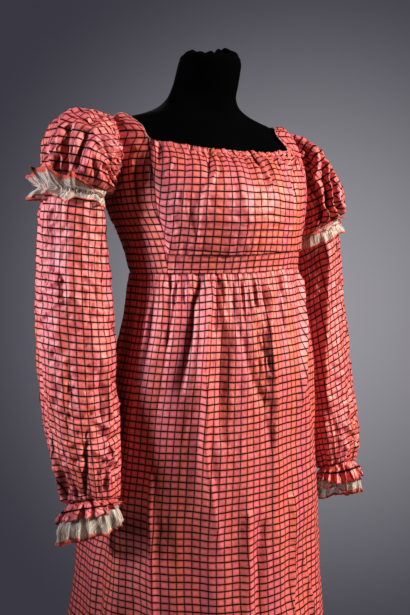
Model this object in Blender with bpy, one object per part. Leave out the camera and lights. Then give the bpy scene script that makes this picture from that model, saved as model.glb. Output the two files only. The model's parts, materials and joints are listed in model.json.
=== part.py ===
"""A regency gown of checked silk, worn by a limbless dress form that stands on a round foot.

Metres, +Z up. The wearer faces -Y, so their left side is +X and their right side is -X.
The origin is on the floor, under the middle of the foot.

Every piece of cloth is a sheet of points worked out from the tables below and given its wall by Solidify:
the points are the inner face of the cloth, and the wall grows outwards. Angles round the body are called
turns: 0 is centre front, 90 is the side and 180 is centre back. Places on a sleeve are angles too: 0 is its
outermost line, 90 its front and 180 the side that faces the body. Pieces for the two arms are drawn for the
left arm (+X) and mirrored.
"""

import math
from collections import namedtuple

import bmesh
import bpy
import numpy as np

# ---------------------------------------------------------------- driving sizes
CLOTH = 0.0013          # wall of the silk
GAUZE = 0.0010          # wall of the frills
SEAM_GAP = 0.0003       # what is left open between two pieces at a seam
REST_GAP = 0.0007       # between the form and the straps, which carry the gown
FORM_GAP = 0.0034       # between the form and the rest of the bodice
FRILL_GAP = 0.0007      # between a frill and the cloth under it

HEM_Z = 0.060
WAIST_Z = 1.160         # seam of bodice and skirt
BAND_HEIGHT = 0.026     # waistband, under the bib
BAND_TOP_Z = WAIST_Z + BAND_HEIGHT
ROUND_FRONT = 2.05      # 2 makes a section an ellipse; more makes it squarer
ROUND_BACK = 2.35

BIB_TURN = 66.0         # turn of the bib's corners at the neckline
BIB_GATHERS = 20
GATHER_OUT = 0.0018     # how far a small gather stands out

FOLD_START_LENGTH = 0.12
SKIRT_GATHER_OUT = 0.0026
SKIRT_GATHER_REACH = 0.035

ARMHOLE_TURN = 93.0     # middle of the armhole
ARMHOLE_HALF_TURN = 14.5
ARMHOLE_Z = 1.334
ARMHOLE_HALF_HEIGHT = 0.050
SHOULDER_PLACE = -30.0  # where the shoulder seam leaves the armhole; 0 is its top, 90 its front
NECK_CORNER_PLACE = 52.0
BIB_FOOT_PLACE = 130.0
SIDE_BACK_PLACE = 225.0
SHOULDER_TURN = 112.0   # where the shoulder seam meets the neckline
SIDE_BACK_TURN = 118.0  # where the side-back seam meets the waist

PUFF_GATHERS = 16
PUFF_GATHER_OUT = 0.0030
RUCHE_WAVES = 12
RUCHE_PRESSED = 0.94    # share of their flare that the frills lose next to the body
WRIST_WAVES = 10
CUFF_PRESSED = 0.40

FOOT_RADIUS = 0.165
FOOT_HEIGHT = 0.018
POLE_RADIUS = 0.015
FORM_BOTTOM_Z = 0.800

# ---------------------------------------------------------------- tables
# Level sections of the body: height, half of the width, then the front, back and widest line in Y.
Section = namedtuple("Section", "z half_width front back middle")

TORSO = (
    Section(1.160, 0.1295, -0.101, 0.098, 0.001),
    Section(1.186, 0.1330, -0.107, 0.109, 0.006),
    Section(1.214, 0.1385, -0.115, 0.125, 0.015),
    Section(1.248, 0.1490, -0.119, 0.138, 0.032),
    Section(1.280, 0.1575, -0.112, 0.146, 0.036),
    Section(1.310, 0.1645, -0.092, 0.149, 0.036),
    Section(1.338, 0.1690, -0.061, 0.147, 0.035),
    Section(1.358, 0.1685, -0.038, 0.142, 0.035),
    Section(1.372, 0.1620, -0.022, 0.136, 0.038),
    Section(1.382, 0.1500, -0.013, 0.130, 0.042),
    Section(1.391, 0.1280, -0.008, 0.124, 0.047),
    Section(1.401, 0.0950, -0.008, 0.117, 0.056),
    Section(1.412, 0.0690, -0.010, 0.109, 0.057),
    Section(1.426, 0.0540, -0.013, 0.098, 0.046),
    Section(1.444, 0.0500, -0.020, 0.081, 0.031),
    Section(1.462, 0.0485, -0.027, 0.071, 0.022),
    Section(1.477, 0.0465, -0.031, 0.062, 0.016),
    Section(1.485, 0.0420, -0.027, 0.056, 0.015),
    Section(1.489, 0.0320, -0.017, 0.046, 0.015),
)

HIPS = (
    Section(0.800, 0.1400, -0.074, 0.118, 0.020),
    Section(0.808, 0.1500, -0.085, 0.130, 0.020),
    Section(0.850, 0.1560, -0.090, 0.138, 0.018),
    Section(0.900, 0.1520, -0.092, 0.132, 0.012),
    Section(0.960, 0.1400, -0.088, 0.112, 0.006),
    Section(1.020, 0.1220, -0.080, 0.092, 0.002),
    Section(1.080, 0.1195, -0.084, 0.084, 0.002),
    Section(1.130, 0.1240, -0.094, 0.089, 0.001),
)

SKIRT = (
    Section(0.060, 0.2550, -0.178, 0.355, 0.095),
    Section(0.250, 0.2380, -0.162, 0.325, 0.085),
    Section(0.450, 0.2160, -0.146, 0.290, 0.073),
    Section(0.640, 0.1870, -0.129, 0.234, 0.055),
    Section(0.742, 0.1775, -0.121, 0.215, 0.047),
    Section(0.820, 0.1710, -0.119, 0.197, 0.037),
    Section(0.900, 0.1635, -0.119, 0.169, 0.022),
    Section(0.990, 0.1560, -0.119, 0.134, 0.005),
    Section(1.030, 0.1500, -0.119, 0.116, -0.002),
    Section(1.100, 0.1375, -0.113, 0.100, -0.005),
    Section(1.130, 0.1325, -0.108, 0.098, -0.002),
    Section(1.160, 0.1295, -0.101, 0.098, 0.001),
)

# The neckline: its height at each turn, from centre front over the shoulder to centre back.
NeckPoint = namedtuple("NeckPoint", "turn z")

NECKLINE = (
    NeckPoint(0.0, 1.334),
    NeckPoint(30.0, 1.336),
    NeckPoint(52.0, 1.343),
    NeckPoint(BIB_TURN, 1.352),
    NeckPoint(72.0, 1.370),
    NeckPoint(80.0, 1.385),
    NeckPoint(92.0, 1.3925),
    NeckPoint(SHOULDER_TURN, 1.387),
    NeckPoint(130.0, 1.378),
    NeckPoint(155.0, 1.366),
    NeckPoint(180.0, 1.362),
)

# Side edge of the bib: its turn at each height, from the waist to the corner of the neckline.
BibEdge = namedtuple("BibEdge", "z turn")

BIB_EDGE = (
    BibEdge(1.160, 63.0),
    BibEdge(1.190, 61.0),
    BibEdge(1.235, 56.5),
    BibEdge(1.275, 55.5),
    BibEdge(1.310, 58.0),
    BibEdge(1.354, BIB_TURN),
)

# Large folds of the skirt: the turn of the fold at the waist and at the hem, the height where it starts,
# how far it stands out there and at the hem, and half of its width as a turn.
Fold = namedtuple("Fold", "turn_waist turn_hem start_z out_top out_hem half_turn")

SKIRT_FOLDS = (
    Fold(-154.0, -158.0, 1.150, 0.006, 0.024, 9.0),
    Fold(-130.0, -134.0, 1.150, 0.006, 0.022, 9.0),
    Fold(-106.0, -114.0, 0.900, 0.000, 0.020, 8.0),
    Fold(-73.0, -70.0, 1.150, 0.004, 0.014, 7.0),
    Fold(-58.0, -46.0, 1.020, 0.000, 0.012, 5.5),
    Fold(-39.0, 4.0, 1.150, 0.005, 0.006, 7.0),
    Fold(-9.0, -3.0, 0.960, 0.000, 0.010, 5.0),
    Fold(12.0, 14.0, 1.150, 0.004, 0.008, 6.0),
    Fold(29.0, 24.0, 0.960, 0.000, 0.010, 6.0),
    Fold(38.0, 45.0, 1.150, 0.003, 0.012, 7.0),
    Fold(61.0, 68.0, 1.140, 0.002, 0.014, 8.0),
    Fold(84.0, 89.0, 0.860, 0.000, 0.018, 8.0),
    Fold(106.0, 111.0, 0.860, 0.000, 0.020, 8.0),
    Fold(130.0, 134.0, 1.150, 0.006, 0.022, 9.0),
    Fold(154.0, 158.0, 1.150, 0.006, 0.024, 9.0),
    Fold(180.0, 181.0, 1.150, 0.006, 0.024, 9.0),
)

# Rings of the long sleeves, from the arm band to the wrist: the middle (out from the middle of the body, y,
# z), the half-sizes of the oval, and how much the ring climbs towards its outer side and towards its front.
Ring = namedtuple("Ring", "out y z wide deep climb_out climb_front")

SLEEVES = {
    "right": (
        Ring(0.2095, 0.030, 1.2750, 0.0475, 0.0460, 0.12, -0.06),
        Ring(0.2115, 0.030, 1.2450, 0.0495, 0.0450, 0.10, -0.05),
        Ring(0.2155, 0.028, 1.1950, 0.0520, 0.0430, 0.06, -0.03),
        Ring(0.2190, 0.022, 1.1200, 0.0530, 0.0415, 0.03, -0.03),
        Ring(0.2205, 0.013, 1.0500, 0.0530, 0.0405, 0.00, 0.00),
        Ring(0.2205, 0.004, 0.9800, 0.0515, 0.0395, 0.00, 0.05),
        Ring(0.2200, -0.006, 0.9300, 0.0475, 0.0375, 0.02, 0.14),
        Ring(0.2190, -0.017, 0.8930, 0.0425, 0.0340, 0.04, 0.24),
        Ring(0.2165, -0.022, 0.8640, 0.0365, 0.0290, 0.06, 0.34),
        Ring(0.2135, -0.024, 0.8420, 0.0310, 0.0230, 0.08, 0.40),
    ),
    "left": (
        Ring(0.1965, 0.030, 1.2200, 0.0440, 0.0440, 0.50, 0.22),
        Ring(0.2005, 0.030, 1.1950, 0.0465, 0.0440, 0.40, 0.18),
        Ring(0.2080, 0.029, 1.1500, 0.0500, 0.0430, 0.20, 0.12),
        Ring(0.2110, 0.024, 1.1000, 0.0530, 0.0420, 0.08, 0.05),
        Ring(0.2115, 0.014, 1.0500, 0.0530, 0.0410, 0.03, 0.02),
        Ring(0.2150, 0.004, 0.9800, 0.0515, 0.0395, 0.00, 0.05),
        Ring(0.2160, -0.008, 0.9250, 0.0470, 0.0370, 0.02, 0.14),
        Ring(0.2150, -0.019, 0.8880, 0.0410, 0.0330, 0.04, 0.24),
        Ring(0.2145, -0.024, 0.8630, 0.0350, 0.0280, 0.06, 0.34),
        Ring(0.2140, -0.026, 0.8450, 0.0290, 0.0225, 0.08, 0.40),
    ),
}
SLEEVE_SKEW = 35.0      # the oval's long side points this far forward of straight inwards

# The puff between armhole and arm band, as rings that lean over: the ends of each ring's long line (at its
# top or outer side, and underneath, against the body) and its half-size in Y.
Lean = namedtuple("Lean", "top_out top_z under_out under_z half_depth")
PUFF_Y = 0.030
BAND_SHARE = 0.95       # past this share of the puff it is the straight neck that the arm band holds
BAND_NECK = 0.004       # length of that neck

PUFFS = {
    "right": (
        Lean(0.1700, 1.3865, 0.1680, 1.2825, 0.0400),
        Lean(0.1820, 1.3905, 0.1695, 1.2805, 0.0500),
        Lean(0.2060, 1.3900, 0.1700, 1.2790, 0.0590),
        Lean(0.2300, 1.3780, 0.1695, 1.2780, 0.0620),
        Lean(0.2455, 1.3570, 0.1685, 1.2770, 0.0620),
        Lean(0.2530, 1.3320, 0.1670, 1.2762, 0.0600),
        Lean(0.2570, 1.3060, 0.1650, 1.2758, 0.0550),
        Lean(0.2565, 1.2880, 0.1630, 1.2750, 0.0490),
    ),
    "left": (
        Lean(0.1700, 1.3830, 0.1680, 1.2790, 0.0400),
        Lean(0.1795, 1.3710, 0.1700, 1.2680, 0.0500),
        Lean(0.1985, 1.3540, 0.1710, 1.2560, 0.0580),
        Lean(0.2205, 1.3340, 0.1700, 1.2440, 0.0600),
        Lean(0.2395, 1.3120, 0.1675, 1.2330, 0.0600),
        Lean(0.2490, 1.2920, 0.1640, 1.2230, 0.0580),
        Lean(0.2470, 1.2680, 0.1600, 1.2140, 0.0530),
        Lean(0.2420, 1.2500, 0.1570, 1.2080, 0.0470),
    ),
}

# Frills: for each line of a frill, how far it lies down the arm from its stitching, how far it stands off
# the cloth under it, and the height of its waves.
Flare = namedtuple("Flare", "down off wave")

# The ruche's upper half lies on the puff: the share of its height there, instead of how far down.
RUCHE_UP = (
    Flare(1.00, 0.0100, 0.0045),
    Flare(0.62, 0.0050, 0.0025),
    Flare(0.28, 0.0020, 0.0008),
)
RUCHE_REACH = 0.15      # height of that half as a share of the puff, at its outer side
RUCHE_DOWN = (
    Flare(0.0000, 0.0010, 0.0000),
    Flare(0.0070, 0.0040, 0.0012),
    Flare(0.0170, 0.0110, 0.0040),
    Flare(0.0260, 0.0160, 0.0055),
)
RUCHE_SPREAD = {"right": 1.0, "left": 0.72}

# The wrist's two frills are measured from the sleeve's own wall: one is sewn on it, one to its end.
CUFF_FRILL = (
    Flare(-0.0070, 0.0036, 0.0000),
    Flare(-0.0008, CLOTH + FRILL_GAP, 0.0000),
    Flare(0.0080, 0.0075, 0.0016),
    Flare(0.0165, 0.0140, 0.0032),
)
CUFF_RUFFLE = (
    Flare(0.0010, 0.0002, 0.0000),
    Flare(0.0060, 0.0010, 0.0003),
    Flare(0.0150, 0.0070, 0.0012),
    Flare(0.0330, 0.0150, 0.0028),
    Flare(0.0520, 0.0175, 0.0038),
)

SILK_PINK = (0.62, 0.12, 0.12)
GAUZE_CREAM = (0.66, 0.60, 0.48)
FORM_BLACK = (0.008, 0.008, 0.010)
STAND_BLACK = (0.02, 0.02, 0.022)


# ---------------------------------------------------------------- curves and surfaces
def glide(at, xs, ys):
    """A smooth curve through the knots (xs, ys): cubic Hermite, with finite-difference slopes."""
    xs, ys, at = (np.asarray(a, float) for a in (xs, ys, at))
    slopes = np.gradient(ys, xs)
    i = np.clip(np.searchsorted(xs, at, side="right") - 1, 0, len(xs) - 2)
    step = xs[i + 1] - xs[i]
    u = np.clip((at - xs[i]) / step, 0.0, 1.0)
    rise, fall = u * u * (3 - 2 * u), (1 - u) * (1 - u) * (1 + 2 * u)
    return (ys[i] * fall + ys[i + 1] * rise
            + step * (slopes[i] * u * (1 - u) ** 2 - slopes[i + 1] * u * u * (1 - u)))


def column(table, name):
    return np.array([getattr(row, name) for row in table])


def section_point(table, turn, z):
    """The point at a turn on the level section at z: a superellipse about the widest line."""
    turn, z = np.broadcast_arrays(np.radians(np.asarray(turn, float)), np.asarray(z, float))
    heights = column(table, "z")
    width, front, back, middle = (
        glide(z, heights, column(table, name)) for name in ("half_width", "front", "back", "middle"))
    across, along = np.abs(np.sin(turn)), np.cos(turn)
    depth = np.where(along > 0, middle - front, back - middle)
    power = np.where(along > 0, ROUND_FRONT, ROUND_BACK)
    reach = ((across / width) ** power + (np.abs(along) / depth) ** power) ** (-1 / power)
    return np.stack([reach * np.sin(turn), middle - reach * along, z], axis=-1)


def torso(turn, z):
    return section_point(TORSO, turn, z)


def outward(turn, z):
    """Unit normals of the torso, pointing away from the body."""
    along = torso(turn + 0.5, z) - torso(turn - 0.5, z)
    up = torso(turn, z + 0.0005) - torso(turn, z - 0.0005)
    normal = np.cross(along, up)
    return normal / np.linalg.norm(normal, axis=-1, keepdims=True)


def on_torso(turn, z, lift=0.0):
    """A point of the bodice's inner face, moved out along its normal by lift."""
    turn, z, lift = np.broadcast_arrays(
        np.asarray(turn, float), np.asarray(z, float), np.asarray(lift, float))
    return torso(turn, z) + outward(turn, z) * lift[..., None]


def neckline_z(turn):
    return glide(np.abs(turn), column(NECKLINE, "turn"), column(NECKLINE, "z"))


def bib_turn(z):
    return glide(z, column(BIB_EDGE, "z"), column(BIB_EDGE, "turn"))


def bib_levels():
    """Heights of the bib's rows at its edge, from the waistband up to the neckline."""
    low = BAND_TOP_Z + SEAM_GAP
    return low + np.array([0.0, 0.20, 0.40, 0.60, 0.76, 0.90, 1.0]) * (neckline_z(BIB_TURN) - low)


def band_levels():
    return np.array([WAIST_Z + SEAM_GAP, WAIST_Z + BAND_HEIGHT / 2, BAND_TOP_Z])


def armhole(place):
    """Turn and height of the armhole's edge; place 0 is its top and 90 its front."""
    place = np.radians(np.asarray(place, float))
    return (ARMHOLE_TURN - ARMHOLE_HALF_TURN * np.sin(place),
            ARMHOLE_Z + ARMHOLE_HALF_HEIGHT * np.cos(place))


def seam_inset(turn, z, metres):
    """The turn that lies metres nearer centre front along the body than this turn."""
    x, y, _ = np.moveaxis(torso(turn, z), -1, 0)
    return turn - np.degrees(metres / np.hypot(x, y - 0.02))


# ---------------------------------------------------------------- meshes
def material(name, colour, roughness, metallic=0.0):
    made = bpy.data.materials.new(name)
    made.use_nodes = True
    shader = made.node_tree.nodes["Principled BSDF"]
    shader.inputs["Base Color"].default_value = (*colour, 1.0)
    shader.inputs["Roughness"].default_value = roughness
    shader.inputs["Metallic"].default_value = metallic
    return made


def add_object(name, mesh_data, finish):
    mesh = bpy.data.meshes.new(name)
    mesh_data.to_mesh(mesh)
    mesh_data.free()
    mesh.materials.append(finish)
    mesh.shade_smooth()
    mesh.set_sharp_from_angle(angle=math.radians(40))
    piece = bpy.data.objects.new(name, mesh)
    bpy.context.scene.collection.objects.link(piece)
    return piece


def stitch(cloth, lower, upper):
    """Faces between two rows of vertices. The rows are equally long, or one has every second point."""
    if len(lower) == len(upper):
        for a, b, c, d in zip(lower, lower[1:], upper[1:], upper):
            cloth.faces.new((a, b, c, d))
        return
    fine, coarse, turned = (lower, upper, False) if len(lower) > len(upper) else (upper, lower, True)
    for i, (c, d) in enumerate(zip(coarse, coarse[1:])):
        a, middle, b = fine[2 * i : 2 * i + 3]
        for face in ((a, middle, c), (middle, d, c), (middle, b, d)):
            cloth.faces.new(face[::-1] if turned else face)


def sheet(rows, ring=False, flip=False):
    """A bmesh through rows of points, bottom row first. A ring is closed round; flip turns its faces over."""
    cloth = bmesh.new()
    knots = []
    for row in rows:
        knots.append([cloth.verts.new(point) for point in row])
        if ring:
            knots[-1].append(knots[-1][0])
    for lower, upper in zip(knots, knots[1:]):
        stitch(cloth, lower, upper)
    if flip:
        bmesh.ops.reverse_faces(cloth, faces=cloth.faces[:])
    return cloth


def walled(name, cloth, finish, wall=CLOTH):
    """The sheet as an object, given its wall outwards."""
    piece = add_object(name, cloth, finish)
    solid = piece.modifiers.new("wall", "SOLIDIFY")
    solid.thickness = wall
    solid.offset = 1.0
    solid.use_even_offset = False
    return piece


SIDES = {"right": -1.0, "left": 1.0}


def mirrored(points, side):
    """Points of a piece drawn for the left side, put on the side that is named."""
    return points * np.array([SIDES[side], 1.0, 1.0])


# ---------------------------------------------------------------- bodice
def bodice_front(finish):
    """The bib: from the waistband up to the drawn-up neckline, with its gathers there."""
    levels = bib_levels()
    shares = (levels - levels[0]) / (levels[-1] - levels[0])
    rows = []
    for level, share in zip(levels, shares):
        columns = 2 * BIB_GATHERS if share > 0.7 else BIB_GATHERS
        across = np.linspace(-1, 1, columns + 1)
        ridge = (np.arange(columns + 1) + 1) % 2 if share > 0.7 else np.ones(columns + 1)
        edge = seam_inset(bib_turn(level), level, SEAM_GAP / 2)
        z = levels[0] + share * (neckline_z(across * BIB_TURN) - levels[0])
        rows.append(on_torso(across * edge, z, GATHER_OUT * share ** 3 * ridge))
    return walled("bodice_front", sheet(rows), finish)


def waistband(finish):
    across = np.linspace(-1, 1, 21)
    rows = []
    for z in band_levels():
        edge = seam_inset(bib_turn(z), z, SEAM_GAP / 2)
        rows.append(on_torso(across * edge, z))
    return walled("waistband", sheet(rows), finish)


FAN_SHARES = np.linspace(0, 1, 5)


def side_panel_edges():
    """Places on the armhole, and the turn and height of the panel's outer edge that belongs to each."""
    strap = np.linspace(SHOULDER_TURN, BIB_TURN, 9)[:-1]
    seam_z = np.concatenate([bib_levels()[::-1], band_levels()[::-1]])
    waist = np.linspace(BIB_EDGE[0].turn, SIDE_BACK_TURN, 9)[1:]
    seam_turn = seam_inset(bib_turn(seam_z), seam_z, -SEAM_GAP / 2)
    places = np.concatenate([
        np.linspace(SHOULDER_PLACE, NECK_CORNER_PLACE, 9)[:-1],
        np.linspace(NECK_CORNER_PLACE, BIB_FOOT_PLACE, len(seam_z)),
        np.linspace(BIB_FOOT_PLACE, SIDE_BACK_PLACE, 9)[1:],
    ])
    turns = np.concatenate([strap, seam_turn, waist])
    heights = np.concatenate([neckline_z(strap), seam_z, np.full(len(waist), WAIST_Z + SEAM_GAP)])
    return places, turns, heights


def bodice_side(side, finish):
    """Strap and side panel in one: a fan round the armhole, from the shoulder seam to the side-back seam."""
    places, outer_turn, outer_z = side_panel_edges()
    inner_turn, inner_z = armhole(places)
    rows = []
    for share in FAN_SHARES:
        turn = inner_turn + share * (outer_turn - inner_turn)
        z = inner_z + share * (outer_z - inner_z)
        rows.append(mirrored(on_torso(turn, z), side))
    return walled("bodice_side_" + side, sheet(rows, flip=side == "left"), finish)


def back_edge():
    """Turn and height of the back panel's edge: up the side-back seam, the armhole, the shoulder seam."""
    low_turn, low_z = armhole(SIDE_BACK_PLACE)
    high_turn, high_z = armhole(SHOULDER_PLACE)
    arc_turn, arc_z = armhole(np.linspace(SIDE_BACK_PLACE, 360 + SHOULDER_PLACE, 7)[1:-1])
    waist_z, neck_z = WAIST_Z + SEAM_GAP, neckline_z(SHOULDER_TURN)
    up = FAN_SHARES
    seam_turn = SIDE_BACK_TURN + up * (low_turn - SIDE_BACK_TURN)
    shoulder_turn = high_turn + up * (SHOULDER_TURN - high_turn)
    turns = np.concatenate([seam_turn, arc_turn, shoulder_turn])
    heights = np.concatenate([waist_z + up * (low_z - waist_z), arc_z, high_z + up * (neck_z - high_z)])
    return turns, heights


def bodice_back(finish):
    """One back panel, between the side-back seams, up to the back neckline."""
    edge_turn, edge_z = back_edge()
    across = np.linspace(-1, 1, 17)
    low, high = edge_z[0], float(neckline_z(180.0))
    rows = []
    for i, (turn, z) in enumerate(zip(edge_turn, edge_z)):
        middle_z = low + (high - low) * i / (len(edge_turn) - 1)
        inner = turn + np.degrees(1.5 * SEAM_GAP / 0.13)
        level = z + (middle_z - z) * (1 - np.abs(across) ** 1.6)
        rows.append(on_torso(180 + across * (180 - inner), level))
    return walled("bodice_back", sheet(rows), finish)


# ---------------------------------------------------------------- skirt
def fold_out(turn, z):
    """How far the large folds stand out: each is a bell round its own line, growing towards the hem."""
    fall = np.clip((WAIST_Z - z) / (WAIST_Z - HEM_Z), 0, 1)
    out = np.zeros(np.broadcast(turn, z).shape)
    for fold in SKIRT_FOLDS:
        line = fold.turn_waist + (fold.turn_hem - fold.turn_waist) * fall
        away = (turn - line + 180) % 360 - 180
        started = np.clip((fold.start_z - z) / FOLD_START_LENGTH, 0, 1)
        height = fold.out_top + (fold.out_hem - fold.out_top) * fall
        height = height * started ** 2 * (3 - 2 * started)
        out = out + height * np.exp(-((away / fold.half_turn) ** 2))
    return out


def skirt_point(turn, z, gather):
    """The skirt's inner face. Gather is 0 in the valley of a small gather at the waist and 1 on its ridge."""
    fade = np.exp(-(WAIST_Z - z) / SKIRT_GATHER_REACH)
    out = fold_out(turn, z) + SKIRT_GATHER_OUT * gather * fade
    radians = np.radians(turn)
    way = np.stack([np.sin(radians), -np.cos(radians), np.zeros_like(radians)], axis=-1)
    return section_point(SKIRT, turn, z) + way * out[..., None]


SkirtPanel = namedtuple("SkirtPanel", "name start_turn end_turn gathers")

SKIRT_PANELS = (
    SkirtPanel("skirt_front", -75.0, 75.0, 25),
    SkirtPanel("skirt_side_left", 75.0, 123.0, 8),
    SkirtPanel("skirt_back", 123.0, 237.0, 19),
    SkirtPanel("skirt_side_right", 237.0, 285.0, 8),
)
GATHERED_LEVELS = (WAIST_Z - SEAM_GAP, 1.150, 1.134, 1.112)
HANGING_LEVELS = (1.080, 1.035, 0.975, 0.890, 0.780, 0.640, 0.470, 0.270, HEM_Z)


def skirt_panel(panel, finish):
    inset = np.degrees(SEAM_GAP / 2 / 0.13)
    rows = []
    for z in HANGING_LEVELS[::-1] + GATHERED_LEVELS[::-1]:
        gathered = z in GATHERED_LEVELS
        columns = 2 * panel.gathers if gathered else panel.gathers
        turn = np.linspace(panel.start_turn + inset, panel.end_turn - inset, columns + 1)
        ridge = (np.arange(columns + 1) + 1) % 2 if gathered else np.zeros(columns + 1)
        rows.append(skirt_point(turn, np.full(columns + 1, z), ridge))
    return walled(panel.name, sheet(rows), finish)


# ---------------------------------------------------------------- sleeves
def sleeve_point(side, z, place, off=0.0, down=0.0):
    """A point of a long sleeve, on the ring whose middle is at z. Off widens the ring, down lowers it."""
    table = SLEEVES[side][::-1]
    heights = column(table, "z")
    out, y, wide, deep, climb_out, climb_front = (
        glide(z, heights, column(table, name))
        for name in ("out", "y", "wide", "deep", "climb_out", "climb_front"))
    skew = math.radians(SLEEVE_SKEW)
    around = math.pi - skew - np.radians(place)
    long_way, short_way = (wide + off) * np.cos(around), (deep + off) * np.sin(around)
    away = short_way * math.sin(skew) - long_way * math.cos(skew)
    forward = long_way * math.sin(skew) + short_way * math.cos(skew)
    return np.stack([out + away, y - forward, z - down + climb_out * away + climb_front * forward], axis=-1)


SLEEVE_PLACES = np.linspace(0, 360, 21)[:-1]
SLEEVE_SHARES = (0.0, 0.02, 0.05, 0.09, 0.15, 0.23, 0.34, 0.47, 0.62, 0.76, 0.88, 1.0)


def sleeve(side, finish):
    wrist, band = SLEEVES[side][-1].z, SLEEVES[side][0].z - 2 * SEAM_GAP
    rows = [mirrored(sleeve_point(side, wrist + share * (band - wrist), SLEEVE_PLACES), side)
            for share in SLEEVE_SHARES]
    return walled("sleeve_" + side, sheet(rows, ring=True, flip=side == "left"), finish)


def puff_point(side, place, share):
    """The puff's smooth inner face; share runs from the armhole (0) to the arm band (1)."""
    table = PUFFS[side]
    shares = np.linspace(0, 1, len(table))
    top_out, top_z, under_out, under_z, half_depth = (
        glide(share, shares, column(table, name)) for name in Lean._fields)
    up, across = (1 + np.cos(np.radians(place))) / 2, np.sin(np.radians(place))
    tilt = SLEEVES[side][0].climb_front * share ** 2
    leaning = np.stack([
        under_out + (top_out - under_out) * up,
        PUFF_Y - half_depth * across,
        under_z + (top_z - under_z) * up + tilt * half_depth * across,
    ], axis=-1)
    root = on_torso(*armhole(place), 2 * CLOTH + SEAM_GAP)
    band_rise = BAND_NECK * np.clip((1 - share) / (1 - BAND_SHARE), 0, 1)
    band = sleeve_point(side, SLEEVES[side][0].z, place, down=-band_rise)
    hold = np.clip(1 - share / 0.10, 0, 1)[..., None]
    tie = np.clip((share - 0.85) / (BAND_SHARE - 0.85), 0, 1)[..., None]
    return leaning + (root - leaning) * hold + (band - leaning) * tie


def puff_normal(side, place, share):
    """Unit normals of the smooth puff, pointing out of it."""
    along = puff_point(side, place, share + 0.002) - puff_point(side, place, share - 0.002)
    around = puff_point(side, place + 1.0, share) - puff_point(side, place - 1.0, share)
    normal = np.cross(around, along)
    return normal / np.linalg.norm(normal, axis=-1, keepdims=True)


def puff_ring(side, places, share, ridge):
    """A ring of the puff with its gathers, which are deepest near its two ends and die at the ends."""
    share = np.full(len(places), share)
    swell = np.sin(math.pi * np.clip(share / BAND_SHARE, 0, 1))
    height = ridge * PUFF_GATHER_OUT * 2.8 * swell * (1 - 0.75 * swell)
    return puff_point(side, places, share) + puff_normal(side, places, share) * height[:, None]


def puff(side, finish):
    """The short puffed oversleeve: gathered into the armhole and again into the arm band."""
    columns = 2 * PUFF_GATHERS
    places = np.linspace(0, 360, columns + 1)[:-1]
    ridge = np.arange(columns) % 2
    rows = [mirrored(puff_ring(side, places, share, ridge), side)
            for share in (0.0, 0.07, 0.18, 0.34, 0.52, 0.70, 0.84, BAND_SHARE, 1.0)]
    return walled("puff_" + side, sheet(rows, ring=True, flip=side == "right"), finish)


def room(place, lost):
    """Share of its flare that a frill keeps. On the side that faces the body it loses the share lost."""
    return 1 - lost * np.clip(-np.cos(np.radians(place)), 0, 1) ** 1.2


def frill_waves(count):
    columns = 3 * count
    place = np.linspace(0, 360, columns + 1)[:-1]
    return place, np.sin(np.radians(place * count) + 0.5)


def ruche(side, finish):
    """The double frill on the arm band: its lower half lies on the sleeve, its upper half on the puff."""
    place, wave = frill_waves(RUCHE_WAVES)
    keep = RUCHE_SPREAD[side] * room(place, RUCHE_PRESSED)
    clear = CLOTH + FRILL_GAP
    band = SLEEVES[side][0].z
    rows = []
    for line in RUCHE_DOWN[::-1]:
        off = clear + (line.off + line.wave * wave) * keep
        ring = sleeve_point(side, np.full(len(place), band - line.down), place, off)
        rows.append(mirrored(ring, side))
    for line in RUCHE_UP[::-1]:
        share = 1 - line.down * (1 - BAND_SHARE + (RUCHE_REACH + BAND_SHARE - 1) * keep ** 2)
        off = clear + PUFF_GATHER_OUT * (1 - share) / RUCHE_REACH + (line.off + line.wave * wave) * keep
        rows.append(mirrored(
            puff_point(side, place, share) + puff_normal(side, place, share) * off[:, None], side))
    return walled("ruche_" + side, sheet(rows, ring=True, flip=side == "left"), finish, GAUZE)


def wrist_frill(name, side, table, finish):
    """A gathered strip sewn on at the wrist, opening downwards."""
    place, wave = frill_waves(WRIST_WAVES)
    keep = room(place, CUFF_PRESSED)
    wrist = SLEEVES[side][-1].z
    rows = []
    for line in table[::-1]:
        ring_z = max(wrist, wrist - line.down)
        held = min(line.off, CLOTH + FRILL_GAP)
        off = held + (line.off - held + line.wave * wave) * keep
        ring = sleeve_point(side, np.full(len(place), ring_z), place, off, line.down - (wrist - ring_z))
        rows.append(mirrored(ring, side))
    return walled(name + "_" + side, sheet(rows, ring=True, flip=side == "left"), finish, GAUZE)


# ---------------------------------------------------------------- dress form and its stand
SHOULDER_HEIGHTS = (1.378, 1.394)       # between them the form comes up to the straps


def dress_form(finish):
    """A limbless torso with a neck stump: the bodice's inner face, a little smaller, closed at both ends."""
    turns = np.linspace(0, 360, 25)[:-1]
    rows = [section_point(HIPS, turns, z) for z in column(HIPS, "z")]
    for z in column(TORSO, "z"):
        rows.append(on_torso(turns, z, -np.interp(z, SHOULDER_HEIGHTS, (FORM_GAP, REST_GAP))))
    body = sheet(rows, ring=True)
    bmesh.ops.holes_fill(body, edges=body.edges, sides=0)
    bmesh.ops.recalc_face_normals(body, faces=body.faces[:])
    return add_object("form_torso", body, finish)


def turned(name, radius, bottom, height, sides, finish, rounded=0.0):
    """A round bar or disc standing on bottom, its upper edge rounded."""
    body = bmesh.new()
    bmesh.ops.create_cone(body, cap_ends=True, segments=sides, radius1=radius, radius2=radius, depth=height)
    bmesh.ops.translate(body, verts=body.verts, vec=(0, 0, bottom + height / 2))
    if rounded:
        top = bottom + height - 1e-5
        rim = [edge for edge in body.edges if all(corner.co.z > top for corner in edge.verts)]
        bmesh.ops.bevel(body, geom=rim, offset=rounded, segments=2, profile=0.5, affect="EDGES")
    return add_object(name, body, finish)


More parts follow.
